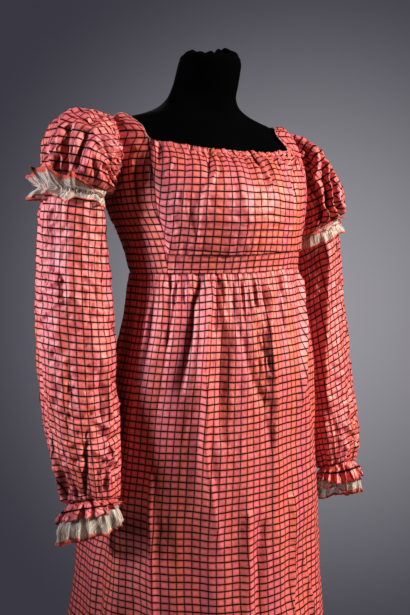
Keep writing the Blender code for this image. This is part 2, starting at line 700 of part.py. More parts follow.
def main():
    for old in list(bpy.data.objects):
        bpy.data.objects.remove(old)
    silk = material("silk_check", SILK_PINK, 0.45)
    gauze = material("cream_gauze", GAUZE_CREAM, 0.8)
    jersey = material("black_jersey", FORM_BLACK, 0.9)
    painted = material("black_metal", STAND_BLACK, 0.4)

    turned("stand_foot", FOOT_RADIUS, 0.0, FOOT_HEIGHT, 36, painted, rounded=0.006)
    pole_bottom = FOOT_HEIGHT + SEAM_GAP
    turned("stand_pole", POLE_RADIUS, pole_bottom, FORM_BOTTOM_Z - SEAM_GAP - pole_bottom, 16, painted)
    dress_form(jersey)

    bodice_front(silk)
    waistband(silk)
    bodice_back(silk)
    for panel in SKIRT_PANELS:
        skirt_panel(panel, silk)
    for side in SIDES:
        bodice_side(side, silk)
        puff(side, silk)
        sleeve(side, silk)
        ruche(side, gauze)
        wrist_frill("cuff_frill", side, CUFF_FRILL, silk)
        wrist_frill("cuff_ruffle", side, CUFF_RUFFLE, gauze)


main()
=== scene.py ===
# %% [markdown]
# # A regency gown on its dress form
# The gown is made of checked silk taffeta. It has a drawn-up bib, a raised waist, puffed oversleeves and
# long sleeves, and its arm bands and cuffs carry frills of cream gauze. Each sewn piece is one surface here:
# a function of two parameters on a grid, worked out with numpy for the whole grid at once.

# %% Load the frame
import json
import math
from collections import namedtuple

import bmesh
import bpy
import numpy as np
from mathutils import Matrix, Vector

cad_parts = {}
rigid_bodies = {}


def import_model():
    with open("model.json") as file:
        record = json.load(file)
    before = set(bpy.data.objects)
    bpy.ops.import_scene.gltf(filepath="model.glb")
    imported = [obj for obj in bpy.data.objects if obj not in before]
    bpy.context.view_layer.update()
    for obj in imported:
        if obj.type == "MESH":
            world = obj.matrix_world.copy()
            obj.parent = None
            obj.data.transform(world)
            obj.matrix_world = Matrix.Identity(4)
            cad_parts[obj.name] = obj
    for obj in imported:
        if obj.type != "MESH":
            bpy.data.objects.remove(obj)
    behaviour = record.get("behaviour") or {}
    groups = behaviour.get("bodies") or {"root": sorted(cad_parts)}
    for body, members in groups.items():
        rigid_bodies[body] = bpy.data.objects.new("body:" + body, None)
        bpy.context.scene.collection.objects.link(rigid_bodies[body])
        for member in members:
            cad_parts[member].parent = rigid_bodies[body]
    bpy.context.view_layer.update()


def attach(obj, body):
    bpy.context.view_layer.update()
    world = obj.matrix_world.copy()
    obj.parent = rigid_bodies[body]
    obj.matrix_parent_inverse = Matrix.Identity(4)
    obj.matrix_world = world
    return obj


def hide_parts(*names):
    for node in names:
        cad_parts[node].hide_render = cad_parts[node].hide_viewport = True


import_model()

# %% [markdown]
# ## The body's measurements
# Angles round the body are called turns: 0 is centre front, 90 is the wearer's left side and 180 is centre
# back. The wearer faces -Y. A tailor would take girths at a few heights; the table does the same with level
# sections, each with half its width, where it ends in front and behind, and where it is widest. The neckline
# and the bib's side seam are lines on that body, so a height or a turn is enough for each of their points.

# %% The body's measurements
CLOTH = 0.0013          # the cloth's outer face lies this far out from the measured inner face
SEAM_GAP = 0.0003
HEM_Z = 0.060
WAIST_Z = 1.160
BAND_TOP_Z = 1.186      # top of the waistband
BIB_TURN = 66.0         # turn of the bib's corners at the neckline
SHOULDER_TURN = 112.0   # turn of the shoulder seam at the neckline
SIDE_BACK_TURN = 118.0  # turn of the side-back seam at the waist
METRES_PER_TURN = 0.0026    # round the bodice, for widths that need no more care
AXIS_Y = 0.02           # the body's middle axis stands this far behind the origin
WAIST_RADIUS = 0.13
SIDES = {"right": -1.0, "left": 1.0}

Section = namedtuple("Section", "z half_width front back middle")
NeckPoint = namedtuple("NeckPoint", "turn z")
BibEdge = namedtuple("BibEdge", "z turn")


def in_mm(kind, rows):
    """A table written in millimetres, as rows with names and in metres."""
    return [kind(*(value / 1000 for value in row)) for row in rows]


TORSO = in_mm(Section, (
    (1160, 129.5, -101, 98, 1), (1186, 133, -107, 109, 6), (1214, 138.5, -115, 125, 15),
    (1248, 149, -119, 138, 32), (1280, 157.5, -112, 146, 36), (1310, 164.5, -92, 149, 36),
    (1338, 169, -61, 147, 35), (1358, 168.5, -38, 142, 35), (1372, 162, -22, 136, 38),
    (1382, 150, -13, 130, 42), (1391, 128, -8, 124, 47), (1401, 95, -8, 117, 56),
    (1412, 69, -10, 109, 57), (1426, 54, -13, 98, 46), (1444, 50, -20, 81, 31),
    (1462, 48.5, -27, 71, 22), (1477, 46.5, -31, 62, 16), (1485, 42, -27, 56, 15),
    (1489, 32, -17, 46, 15),
))

NECKLINE = (
    NeckPoint(0.0, 1.334), NeckPoint(30.0, 1.336), NeckPoint(52.0, 1.343),
    NeckPoint(BIB_TURN, 1.352), NeckPoint(72.0, 1.370), NeckPoint(80.0, 1.385),
    NeckPoint(92.0, 1.3925), NeckPoint(SHOULDER_TURN, 1.387), NeckPoint(130.0, 1.378),
    NeckPoint(155.0, 1.366), NeckPoint(180.0, 1.362),
)

BIB_EDGE = (
    BibEdge(1.160, 63.0), BibEdge(1.190, 61.0), BibEdge(1.235, 56.5),
    BibEdge(1.275, 55.5), BibEdge(1.310, 58.0), BibEdge(1.354, BIB_TURN),
)
print("the body:", len(TORSO), "sections from", TORSO[0].z, "to", TORSO[-1].z, "m")

# %% [markdown]
# ## Curves through the tables
# A level section of the body is a superellipse: a rounded oval between an ellipse and a box. A smooth curve
# through each column of the table gives the section at any height, so one formula covers the whole bodice.
# Cloth lies on a body a little way off it, and on_torso lifts a point by that much along the body's normal.

# %% Curves and sections
ROUND_FRONT, ROUND_BACK = 2.05, 2.35    # powers: 2 would be an ellipse


def glide(at, xs, ys):
    """A smooth curve through the knots (xs, ys): cubic Hermite, with finite-difference slopes."""
    xs, ys, at = (np.asarray(a, float) for a in (xs, ys, at))
    slopes = np.gradient(ys, xs)
    i = np.clip(np.searchsorted(xs, at, side="right") - 1, 0, len(xs) - 2)
    step = xs[i + 1] - xs[i]
    u = np.clip((at - xs[i]) / step, 0.0, 1.0)
    rise, fall = u * u * (3 - 2 * u), (1 - u) * (1 - u) * (1 + 2 * u)
    return (ys[i] * fall + ys[i + 1] * rise
            + step * (slopes[i] * u * (1 - u) ** 2 - slopes[i + 1] * u * u * (1 - u)))


def bell(at, middle, half):
    """exp(-((at - middle) / half)^2): 1 at the middle and nearly nought past twice the half."""
    return np.exp(-(((at - middle) / half) ** 2))


def ease(share):
    """3t^2 - 2t^3 for a share t from 0 to 1, so a change starts and ends softly."""
    return share ** 2 * (3 - 2 * share)


def column(table, name):
    """One named column of a table."""
    return np.array([getattr(row, name) for row in table])


def section_point(table, turn, z):
    """Point of the level section at z: (|sin|/width)^n + (|cos|/depth)^n = 1/reach^n, about the widest line."""
    turn, z = np.broadcast_arrays(np.radians(np.asarray(turn, float)), np.asarray(z, float))
    heights = column(table, "z")
    width, front, back, middle = (
        glide(z, heights, column(table, name)) for name in ("half_width", "front", "back", "middle"))
    across, along = np.abs(np.sin(turn)), np.cos(turn)
    depth = np.where(along > 0, middle - front, back - middle)
    power = np.where(along > 0, ROUND_FRONT, ROUND_BACK)
    reach = ((across / width) ** power + (np.abs(along) / depth) ** power) ** (-1 / power)
    return np.stack([reach * np.sin(turn), middle - reach * along, z], axis=-1)


def torso(turn, z):
    """Point of the bodice's inner face."""
    return section_point(TORSO, turn, z)


def outward(turn, z):
    """Unit normal of the torso: the cross product of a small step round it and a small step up it."""
    along = torso(turn + 0.5, z) - torso(turn - 0.5, z)
    up = torso(turn, z + 0.0005) - torso(turn, z - 0.0005)
    normal = np.cross(along, up)
    return normal / np.linalg.norm(normal, axis=-1, keepdims=True)


def on_torso(turn, z, lift=0.0):
    """The same point, lifted off the body along its normal."""
    turn, z, lift = np.broadcast_arrays(*(np.asarray(a, float) for a in (turn, z, lift)))
    return torso(turn, z) + outward(turn, z) * lift[..., None]


print("the bust is", round(float(np.ptp(torso(np.linspace(0, 360, 361), 1.28)[:, 0])), 3), "m wide")

# %% [markdown]
# ## Lines on the body
# The neckline, the bib's seams and the raised waist are lines on that form. The left side isn't quite the
# mirror image of the right: its strap is wider and its waist climbs a little, as the gown hangs askew.

# %% Lines on the body
def neckline_z(turn):
    """The table's height. The left strap is a little wider: its inner edge lies up to 7 degrees further in."""
    wider = 7.0 * bell(np.asarray(turn), 70, 16)
    return glide(np.abs(turn) + wider, column(NECKLINE, "turn"), column(NECKLINE, "z"))


def bib_turn(z):
    """Turn of the bib's side seam at a height, smoothly through the table."""
    return glide(z, column(BIB_EDGE, "z"), column(BIB_EDGE, "turn"))


def seam_rise(turn, z):
    """How far the raised waist climbs round the wearer's left side: up to 8 mm, fading out over the bust."""
    turn = (np.asarray(turn, float) + 180) % 360 - 180
    climb = np.clip((turn + 20) / 75, 0, 1)
    fall = np.clip((turn - 95) / 70, 0, 1)
    return 0.0080 * (ease(climb) - ease(fall)) * bell(z, 1.172, 0.055)


def seam_inset(turn, z, metres):
    """The turn that lies metres nearer centre front along the body than this turn."""
    x, y, _ = np.moveaxis(torso(turn, z), -1, 0)
    return turn - np.degrees(metres / np.hypot(x, y - AXIS_Y))


def mirrored(points, side):
    """Pieces for both arms are worked out for the left one (+X); the right one has x turned round."""
    return points * np.array([SIDES[side], 1.0, 1.0])


print("the waist is", round(float(np.ptp(torso(np.linspace(0, 360, 361), WAIST_Z)[:, 0])), 3), "m wide")

# %% [markdown]
# ## Random curves
# Nothing in a worn gown repeats exactly. These curves and fields are random but smooth, and they come from
# seeded numbers, so they are the same each time. The crumple is one of them folded: where the field passes
# through nought, its absolute value has a sharp edge, as crisp taffeta has.

# %% Random curves
def rumple(along, seed, period, wrap=None):
    """Smooth random curve from -1 to 1: a random height every period, joined by 3t^2 - 2t^3."""
    heights = np.random.default_rng(seed).uniform(-1, 1, 4096)
    at = np.asarray(along, float) / period + (0 if wrap else 2000)
    i = np.floor(at).astype(int)
    t = at - i
    t = t * t * (3 - 2 * t)
    size = wrap or 4096
    return heights[i % size] * (1 - t) + heights[(i + 1) % size] * t


def rumple_field(x, y, seed, period, wrap=None):
    """The same over a plane: random heights on a square net, joined smoothly both ways."""
    heights = np.random.default_rng(seed).uniform(-1, 1, (512, 512))
    at_x, at_y = np.broadcast_arrays(np.asarray(x, float) / period, np.asarray(y, float) / period)
    at_x = at_x + (0 if wrap else 200)
    i, j = np.floor(at_x).astype(int), np.floor(at_y + 200).astype(int)
    s, t = at_x - i, at_y + 200 - j
    s, t = s * s * (3 - 2 * s), t * t * (3 - 2 * t)
    size = wrap or 512
    a, b = heights[i % size, j % 512], heights[(i + 1) % size, j % 512]
    c, d = heights[i % size, (j + 1) % 512], heights[(i + 1) % size, (j + 1) % 512]
    return (a * (1 - s) + b * s) * (1 - t) + (c * (1 - s) + d * s) * t


def crumple(x, y, seed, period, wrap=None):
    """Crisp small facets: 1 - 2|field| has sharp ridges where the random field passes through nought."""
    coarse = 1 - 2 * np.abs(rumple_field(x, y, seed, period, wrap))
    wrap_fine = None if wrap is None else 2 * wrap
    fine = 1 - 2 * np.abs(rumple_field(x, y, seed + 1, period / 2, wrap_fine))
    return 0.65 * coarse + 0.35 * fine


print("a random curve:", rumple(np.linspace(0, 1, 5), 1, 0.3).round(2))

# %% [markdown]
# ## Gathers and creases
# Sewing a wide edge to a short one leaves gathers: narrow ridges that run off the seam and die out. A crease
# is a fold that a hand could point at. It follows a broken line, and its cross-section is a rounded ridge
# with a shallow dip on both sides, which makes it look like bent cloth and not like a wire under the cloth.

# %% Gathers and creases
def gathers(along, away, pitch, height, reach, seed):
    """Ridges |sin(pi s)|^0.7 that run off a seam and die as exp(-away / reach). Their spacing and their height
    wander with random curves."""
    lean = rumple(along, seed + 3, 4 * pitch) * away * 0.35
    s = (along + lean) / pitch + 0.55 * rumple(along + lean, seed, 2.6 * pitch)
    tall = 0.62 + 0.38 * rumple(along + lean, seed + 1, 1.3 * pitch)
    return height * tall * np.abs(np.sin(np.pi * s)) ** 0.7 * np.exp(-np.maximum(away, 0) / reach)


Crease = namedtuple("Crease", "half lean points")


def laid(*rows):
    """Creases from rows of half width, lean, then (x, y, out) for each point. Half, y and out are in
    thousandths."""
    return [Crease(half / 1000, lean, [(x, y / 1000, out / 1000) for x, y, out in points])
            for half, lean, *points in rows]


def creases(x, y, table, x_scale=1.0, y_scale=1.0, wrap=None):
    """Sum of folds along broken lines of (x, y, out). With d the distance over half, each adds
    out * (1.3 exp(-d^1.6) - 0.3 exp(-d^2 / 5)); lean makes one flank steeper than the other."""
    total = np.zeros(np.broadcast(x, y).shape)
    for fold in table:
        nearest = np.full(total.shape, np.inf)
        height, flank = np.zeros(total.shape), np.zeros(total.shape)
        for (x0, y0, out0), (x1, y1, out1) in zip(fold.points, fold.points[1:]):
            away_x = x - x0
            if wrap:
                away_x = (away_x + wrap / 2) % wrap - wrap / 2
            px, py = away_x * x_scale, (y - y0) * y_scale
            dx, dy = (x1 - x0) * x_scale, (y1 - y0) * y_scale
            t = np.clip((px * dx + py * dy) / (dx * dx + dy * dy), 0, 1)
            gap = np.hypot(px - t * dx, py - t * dy)
            closer = gap < nearest
            nearest = np.where(closer, gap, nearest)
            height = np.where(closer, out0 + (out1 - out0) * t, height)
            flank = np.where(closer, np.sign(px * dy - py * dx), flank)
        d = nearest / (fold.half * (1 + fold.lean * flank))
        total = total + height * (1.3 * np.exp(-d ** 1.6) - 0.3 * np.exp(-d * d / 5))
    return total


def above_form(relief, least=-0.0032):
    """Hollows level off smoothly at the least height, where the cloth would touch the form."""
    return np.where(relief < 0, least * np.tanh(relief / least), relief)


sample = creases(np.array([0.0, 5.0, 40.0]), np.zeros(3), laid((10, 0, (0, -1000, 10), (0, 1000, 10))), 0.001)
print("a 10 mm crease, at 0, 5 and 40 mm from its line:", sample.round(4))

# %% [markdown]
# ## From a grid to a piece of cloth
# Each piece is a grid of points, with its rows running up the piece. Its relief is pushed out along the
# grid's own normals. The UV map is the flat cut in metres: across a row it shares out the width that the
# piece was cut to there, and along a column it is the true length, so the check stays on the thread as the
# cloth turns and gathers. Solidify then gives the cloth its wall, inwards.

# %% Building cloth
def grid_normals(points, ring=False):
    """Unit normals: the cross product of the two central differences of the grid."""
    if ring:
        padded = np.concatenate([points[:, -2:-1], points, points[:, 1:2]], axis=1)
        across = padded[:, 2:] - padded[:, :-2]
    else:
        across = np.gradient(points, axis=1)
    up = np.gradient(points, axis=0)
    normal = np.cross(across, up)
    return normal / np.maximum(np.linalg.norm(normal, axis=-1, keepdims=True), 1e-12)


def flat_cut(points, width, from_top=True):
    """UV in metres: u shares out the cut width along each row by its arc, v is the length along a column."""
    across = np.linalg.norm(np.diff(points, axis=1), axis=-1)
    arc = np.concatenate([np.zeros((len(points), 1)), np.cumsum(across, axis=1)], axis=1)
    u = (arc / arc[:, -1:] - 0.5) * np.asarray(width, float).reshape(-1, 1)
    up = np.linalg.norm(np.diff(points, axis=0), axis=-1)
    v = np.concatenate([np.zeros((1, points.shape[1])), np.cumsum(up, axis=0)])
    return np.stack([u, v - v[-1:] if from_top else v], axis=-1)


def row_widths(points):
    """How wide each row of the grid lies, along the cloth."""
    return np.linalg.norm(np.diff(points, axis=1), axis=-1).sum(axis=1)


def skin(name, points, uv, ring=False, flip=False):
    """A mesh object through the grid. A ring's last column is its first again, and keeps its own UV."""
    rows, columns = points.shape[:2]
    count = columns - 1 if ring else columns
    i, j = np.meshgrid(np.arange(rows - 1), np.arange(columns - 1), indexing="ij")
    corner_rows = np.stack([i, i, i + 1, i + 1], axis=-1).reshape(-1, 4)
    corner_columns = np.stack([j, j + 1, j + 1, j], axis=-1).reshape(-1, 4)
    if flip:
        corner_rows, corner_columns = corner_rows[:, ::-1], corner_columns[:, ::-1]
    faces = corner_rows * count + corner_columns % count
    mesh = bpy.data.meshes.new(name)
    mesh.from_pydata(points[:, :count].reshape(-1, 3).tolist(), [], faces.tolist())
    mesh.uv_layers.new(name="cut").uv.foreach_set("vector", uv[corner_rows, corner_columns].ravel())
    mesh.shade_smooth()
    piece = bpy.data.objects.new(name, mesh)
    bpy.context.scene.collection.objects.link(piece)
    return piece


def cloth(name, inner, relief, finish, uv, ring=False, flip=False, wall=0.0007):
    """Cloth over a smooth grid: points are inner + (CLOTH + relief) along the outward normal."""
    normal = grid_normals(inner, ring) * (-1 if flip else 1)
    points = inner + normal * (CLOTH + relief)[..., None]
    if ring:
        points[:, -1] = points[:, 0]
    piece = skin(name, points, uv, ring, flip)
    piece.data.materials.append(finish)
    solid = piece.modifiers.new("wall", "SOLIDIFY")
    solid.thickness, solid.offset = wall, -1.0
    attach(piece, "root")
    print(name, "grid", inner.shape[:2], "relief", relief.min().round(4), "to", relief.max().round(4), "m")
    return piece


print("ready to cut cloth of", CLOTH, "m")

# %% [markdown]
# ## Building materials from nodes
# A material is a small graph: each node takes numbers or colours and hands on its result. These helpers add
# one node each and return its output, so a finish reads like a formula. Patterns that follow the threads
# read the UV map, since it is the flat cut; those of the form and its stand read the object's coordinates.

# %% Helpers for materials
def blank(name, **sockets):
    """A new material with its Principled shader. Sockets with one value all over are set directly."""
    made = bpy.data.materials.new(name)
    made.use_nodes = True
    shader = made.node_tree.nodes["Principled BSDF"]
    for socket, value in sockets.items():
        shader.inputs[socket.replace("_", " ")].default_value = value
    return made, made.node_tree, shader


def add(tree, kind, *inputs, **settings):
    """A node of this kind. Each input is a number, a colour, None or the output of another node."""
    made = tree.nodes.new("ShaderNode" + kind)
    for name, value in settings.items():
        setattr(made, name, value)
    for socket, value in zip(made.inputs, inputs):
        if isinstance(value, bpy.types.NodeSocket):
            tree.links.new(value, socket)
        elif value is not None:
            socket.default_value = value
    return made.outputs[0]


def maths(tree, operation, *inputs):
    """One operation on numbers."""
    return add(tree, "Math", *inputs, operation=operation)


def mix(tree, share, first, second, blend="MIX"):
    """A colour mix: sockets 0, 6 and 7 of the Mix node are the factor and the two colours."""
    made = tree.nodes.new("ShaderNodeMix")
    made.data_type, made.blend_type = "RGBA", blend
    for place, value in ((0, share), (6, first), (7, second)):
        if isinstance(value, bpy.types.NodeSocket):
            tree.links.new(value, made.inputs[place])
        else:
            made.inputs[place].default_value = value
    return made.outputs[2]


print("node helpers ready")

# %% [markdown]
# ## Spots, steps and bumps
# Nearly every finish needs the same three things: random spots, a step from one value to another, and
# small heights that bend the light. Each is one node with its settings.

# %% Spots, steps and bumps
def noise(tree, vector, scale, detail=2.0, roughness=0.5):
    """Soft random spots, between about 0.2 and 0.8."""
    made = tree.nodes.new("ShaderNodeTexNoise")
    tree.links.new(vector, made.inputs["Vector"])
    made.inputs["Scale"].default_value = scale
    made.inputs["Detail"].default_value = detail
    made.inputs["Roughness"].default_value = roughness
    return made.outputs["Fac"]


def span(tree, value, low, high, out_low=0.0, out_high=1.0, smooth=True):
    """Map Range, from low..high to out_low..out_high."""
    made = add(tree, "MapRange", value, low, high, out_low, out_high)
    made.node.interpolation_type = "SMOOTHSTEP" if smooth else "LINEAR"
    return made


def streaks(tree, vector, across, along, detail=2.0, roughness=0.5):
    """Noise with this many spots to the metre in each direction; unlike numbers draw it out into streaks."""
    drawn = add(tree, "VectorMath", vector, (across, along, 1.0), operation="MULTIPLY")
    return noise(tree, drawn, 1.0, detail, roughness)


def wire(tree, shader, **sockets):
    """Joins each output to the shader's socket of that name."""
    for socket, output in sockets.items():
        tree.links.new(output, shader.inputs[socket.replace("_", " ")])


def bumped(tree, height, strength, distance):
    """A normal bent by the slope of this height."""
    bump = tree.nodes.new("ShaderNodeBump")
    bump.inputs["Strength"].default_value = strength
    bump.inputs["Distance"].default_value = distance
    tree.links.new(height, bump.inputs["Height"])
    return bump.outputs[0]


def cut_coordinates(tree):
    """The UV map, with u and v apart."""
    uv = add(tree, "UVMap", uv_map="cut")
    split = tree.nodes.new("ShaderNodeSeparateXYZ")
    tree.links.new(uv, split.inputs[0])
    return uv, split.outputs[0], split.outputs[1]


print("noise, ranges and bumps ready")

# %% [markdown]
# ## The silk
# The cloth is a shot taffeta: its warp and weft have two different reds, so it looks orange on one side of a
# fold and mauve on the other. A fine black check is woven in, with crisp lines across and thinner, browner
# lines down the length, and each line has a darker crimson thread beside it. Ping-pong folds a coordinate
# over and over at half a square, which gives the distance to the nearest line of the check.

# %% Checked silk taffeta
CHECK_WIDE, CHECK_TALL = 0.0115, 0.0101     # from one line of the warp, and of the weft, to the next
LINE_SOFT, SHADE_SOFT = 0.00026, 0.0011
WARP_HALF, WEFT_HALF = 0.00066, 0.00092     # half the width of the lines
SHADE_WARP, SHADE_WEFT = 0.0020, 0.0022     # and of the crimson beside them
ORANGE_SILK = (0.90, 0.190, 0.085, 1)
CORAL_SILK = (0.86, 0.185, 0.150, 1)
MAUVE_SILK = (0.76, 0.155, 0.195, 1)
CRIMSON_THREAD = (0.40, 0.022, 0.016, 1)
WEFT_BLACK = (0.008, 0.003, 0.003, 1)
WARP_BROWN = (0.022, 0.006, 0.005, 1)


def check_lines(tree, u, v, warp_half, weft_half, soft):
    """1 on the lines of the check and 0 between them, for the lines down and the lines across."""
    for along, pitch, half in ((u, CHECK_WIDE, warp_half), (v, CHECK_TALL, weft_half)):
        away = maths(tree, "PINGPONG", along, pitch / 2)
        yield span(tree, away, half - soft, half + soft, 1.0, 0.0)


def silk_taffeta(name):
    """Streaks along the warp, a slub along the weft, then the two sets of lines, and a crinkled surface."""
    made, tree, shader = blank(name, IOR=1.95, Specular_IOR_Level=0.5, Specular_Tint=(1.0, 0.90, 0.88, 1),
                               Sheen_Weight=0.15, Sheen_Roughness=0.5, Sheen_Tint=(1.0, 0.70, 0.66, 1))
    uv, u, v = cut_coordinates(tree)
    wide, narrow = streaks(tree, uv, 38, 3.5, 3.0), streaks(tree, uv, 420, 9)
    flashes = streaks(tree, uv, 900, 40)
    shot = mix(tree, span(tree, wide, 0.36, 0.54), MAUVE_SILK, CORAL_SILK)
    shot = mix(tree, span(tree, wide, 0.52, 0.68), shot, ORANGE_SILK)
    shot = mix(tree, span(tree, narrow, 0.35, 0.75, 0.0, 0.30), shot, MAUVE_SILK)
    shot = mix(tree, span(tree, flashes, 0.56, 0.74, 0.0, 0.45), shot, ORANGE_SILK)
    grain = maths(tree, "MULTIPLY", streaks(tree, uv, 2600, 110, 1.0), streaks(tree, uv, 60, 1900, 1.0))
    shade = span(tree, grain, 0.12, 0.42, 0.76, 1.18, smooth=False)
    shot = mix(tree, 1.0, shot, add(tree, "CombineXYZ", shade, shade, shade), "MULTIPLY")
    drift = streaks(tree, uv, 9, 9)
    lean = maths(tree, "MULTIPLY", maths(tree, "SUBTRACT", drift, 0.5), 0.008)
    u_line, v_line = maths(tree, "ADD", u, lean), maths(tree, "SUBTRACT", v, lean)
    beside = maths(tree, "MAXIMUM", *check_lines(tree, u_line, v_line, SHADE_WARP, SHADE_WEFT, SHADE_SOFT))
    shot = mix(tree, maths(tree, "MULTIPLY", beside, 0.60), shot, CRIMSON_THREAD)
    down, across = check_lines(tree, u_line, v_line, WARP_HALF, WEFT_HALF, LINE_SOFT)
    worn = span(tree, narrow, 0.25, 0.75, 0.86, 1.0)
    shot = mix(tree, maths(tree, "MULTIPLY", down, worn), shot, WARP_BROWN)
    lines = maths(tree, "MAXIMUM", down, across)
    crinkle = maths(tree, "MULTIPLY", streaks(tree, uv, 75, 55, 5.0, 0.62), 0.0040)
    height = maths(tree, "ADD", crinkle, maths(tree, "MULTIPLY", grain, 0.00012))
    wire(tree, shader, Base_Color=mix(tree, across, shot, WEFT_BLACK),
         Specular_IOR_Level=span(tree, lines, 0.0, 1.0, 0.5, 0.03, smooth=False),
         Sheen_Weight=span(tree, lines, 0.0, 1.0, 0.15, 0.0, smooth=False),
         Roughness=span(tree, streaks(tree, uv, 90, 60, 3.0), 0.3, 0.7, 0.52, 0.66),
         Normal=bumped(tree, height, 0.6, 1.0))
    return made


SILK = silk_taffeta("silk_check_taffeta")
print("silk:", len(SILK.node_tree.nodes), "nodes")

# %% [markdown]
# ## Gauze, jersey and metal
# The frills are a thin cream gauze: an open weave that lets some of the silk show through. Their edges are
# bound with a narrow strip of the coral silk, which the material draws along both ends of v. The form is
# covered in black jersey with a fine knit rib, and the stand is painted metal, worn a little lighter in spots.

# %% Gauze, jersey and metal
WEAVE = 0.00045         # from a thread of the gauze to the middle of a hole


def bound_gauze(name, low_edge, high_edge):
    """Cream gauze between v = low_edge and v = high_edge; outside these it is the coral binding. Both carry a
    painted highlight and painted shade in streaks along the fine pleats.
    """
    made, tree, shader = blank(name, Roughness=0.7, Specular_IOR_Level=0.3, Sheen_Weight=0.3)
    uv, u, v = cut_coordinates(tree)
    pleats_and_painted_light, mottled = streaks(tree, uv, 430, 26, 4.0, 0.65), streaks(tree, uv, 45, 22, 4.0)
    # The pleat streaks paint light into the colour: a near-white painted highlight on each fine pleat and a
    # grey-brown painted shade between them. The binding gets the same painted highlight and shade.
    cream = mix(tree, span(tree, pleats_and_painted_light, 0.36, 0.64), (0.42, 0.34, 0.27, 1), (1.0, 0.93, 0.82, 1))
    cream = mix(tree, span(tree, mottled, 0.45, 0.70, 0.0, 0.6), cream, (0.50, 0.40, 0.30, 1))
    binding = mix(tree, span(tree, pleats_and_painted_light, 0.4, 0.6), (0.40, 0.035, 0.03, 1), (0.82, 0.15, 0.09, 1))
    wavy = maths(tree, "MULTIPLY", maths(tree, "SUBTRACT", mottled, 0.5), 0.004)
    reach = maths(tree, "ADD", v, wavy)
    low = span(tree, reach, low_edge - 0.0004, low_edge + 0.0004, 1.0, 0.0)
    high = span(tree, reach, high_edge - 0.0004, high_edge + 0.0004)
    edge = maths(tree, "MAXIMUM", low, high)
    open_u, open_v = (span(tree, maths(tree, "PINGPONG", way, WEAVE), 0.00008, 0.0003) for way in (u, v))
    holes = maths(tree, "MULTIPLY", maths(tree, "MULTIPLY", open_u, open_v), 0.6)
    thin = maths(tree, "MULTIPLY", holes, span(tree, pleats_and_painted_light, 0.35, 0.65, 1.0, 0.3))
    thin = maths(tree, "ADD", thin, span(tree, pleats_and_painted_light, 0.40, 0.60, 0.60, 0.16))
    wire(tree, shader, Base_Color=mix(tree, edge, cream, binding),
         Alpha=maths(tree, "MAXIMUM", maths(tree, "SUBTRACT", 1.0, thin), edge),
         Normal=bumped(tree, maths(tree, "MULTIPLY", pleats_and_painted_light, 0.0020), 0.7, 1.0))
    return made


def spotted(name, scale, detail, low, high, first, second, **sockets):
    """Two colours in soft spots, by a noise in the object's own coordinates."""
    made, tree, shader = blank(name, **sockets)
    place = tree.nodes.new("ShaderNodeTexCoord").outputs["Object"]
    spots = noise(tree, place, scale, detail)
    wire(tree, shader, Base_Color=mix(tree, span(tree, spots, low, high), first, second))
    return made, tree, shader, place, spots


JERSEY, tree, shader, place, _ = spotted("black_jersey_knit", 9.0, 3.0, 0.3, 0.7, (0.0004, 0.0004, 0.0007, 1),
                                         (0.0012, 0.0012, 0.0018, 1), Roughness=0.9, Specular_IOR_Level=0.03)
rib = add(tree, "VectorMath", place, (1400, 1400, 500), operation="MULTIPLY")
wire(tree, shader, Normal=bumped(tree, noise(tree, rib, 1.0, 1.0), 1.0, 0.0005))

METAL, tree, shader, _, worn = spotted("black_painted_metal", 35.0, 5.0, 0.4, 0.75, (0.018, 0.018, 0.02, 1),
                                       (0.045, 0.043, 0.042, 1), Metallic=0.4, Specular_IOR_Level=0.5)
wire(tree, shader, Roughness=span(tree, worn, 0.3, 0.7, 0.32, 0.5))

RUCHE_GAUZE = bound_gauze("gauze_ruche", -0.0398, -0.0024)
CUFF_GAUZE = bound_gauze("gauze_cuff", -0.0505, 1.0)
print("finishes:", [m.name for m in (SILK, RUCHE_GAUZE, CUFF_GAUZE, JERSEY, METAL)])

# %% [markdown]
# ## Camera and lights
# The gown is seen from the height of its waist, a little to the wearer's right, through a plain 50 mm lens.
# A small warm lamp stands high at the front on the wearer's left, so every fold casts a short crisp shadow.
# A soft cool lamp from the wearer's right fills the near sleeve, and a weak one lights the back.

# %% Camera and lights
def aimed(name, data, place, target):
    """An object at this place whose -Z axis points at the target."""
    made = bpy.data.objects.new(name, data)
    bpy.context.scene.collection.objects.link(made)
    made.location = place
    made.rotation_euler = (Vector(target) - Vector(place)).to_track_quat("-Z", "Y").to_euler()
    return made


def lamp(name, kind, watts, colour, **settings):
    """Light data of this kind, with any further settings by name."""
    made = bpy.data.lights.new(name, kind)
    for setting, value in dict(settings, energy=watts, color=colour).items():
        setattr(made, setting, value)
    return made


scene = bpy.context.scene
lens = bpy.data.cameras.new("camera")
lens.lens, lens.sensor_width = 50, 36
scene.camera = aimed("camera", lens, (-0.664, -1.118, 1.171), (-0.014, 0.008, 1.107))
key = lamp("key", "AREA", 102, (1.0, 0.94, 0.88), shape="RECTANGLE", size=0.30, size_y=0.45)
behind = lamp("behind", "AREA", 26, (1.0, 0.97, 0.94), shape="RECTANGLE", size=0.9, size_y=1.2)
fill = lamp("left", "SPOT", 470, (0.90, 0.91, 1.0), shadow_soft_size=0.42, spot_size=np.radians(22),
            spot_blend=0.7)
aimed("key", key, (1.42, -1.70, 2.16), (0.0, 0.0, 1.08))
aimed("behind", behind, (0.9, 2.6, 2.4), (0.0, 0.0, 1.0))
aimed("left", fill, (-2.45, 0.40, 1.72), (-0.21, 0.0, 1.16))
print("camera", [round(c, 3) for c in scene.camera.location], "lens", lens.lens)

# %% [markdown]
# ## Room and floor
# The room is a plain grey backdrop that is lit from one side: it is brightest in one direction and falls off
# smoothly away from it. The backdrop is darker and warmer as light than as seen, like a dim studio. The floor
# is a pale disc, which stays under the part as a stage and doesn't belong to it.

# %% Room and floor
GLOW_WAY = (0.588, 0.806, -0.05)    # the backdrop is brightest in this direction
FLOOR_RADIUS = 1.2

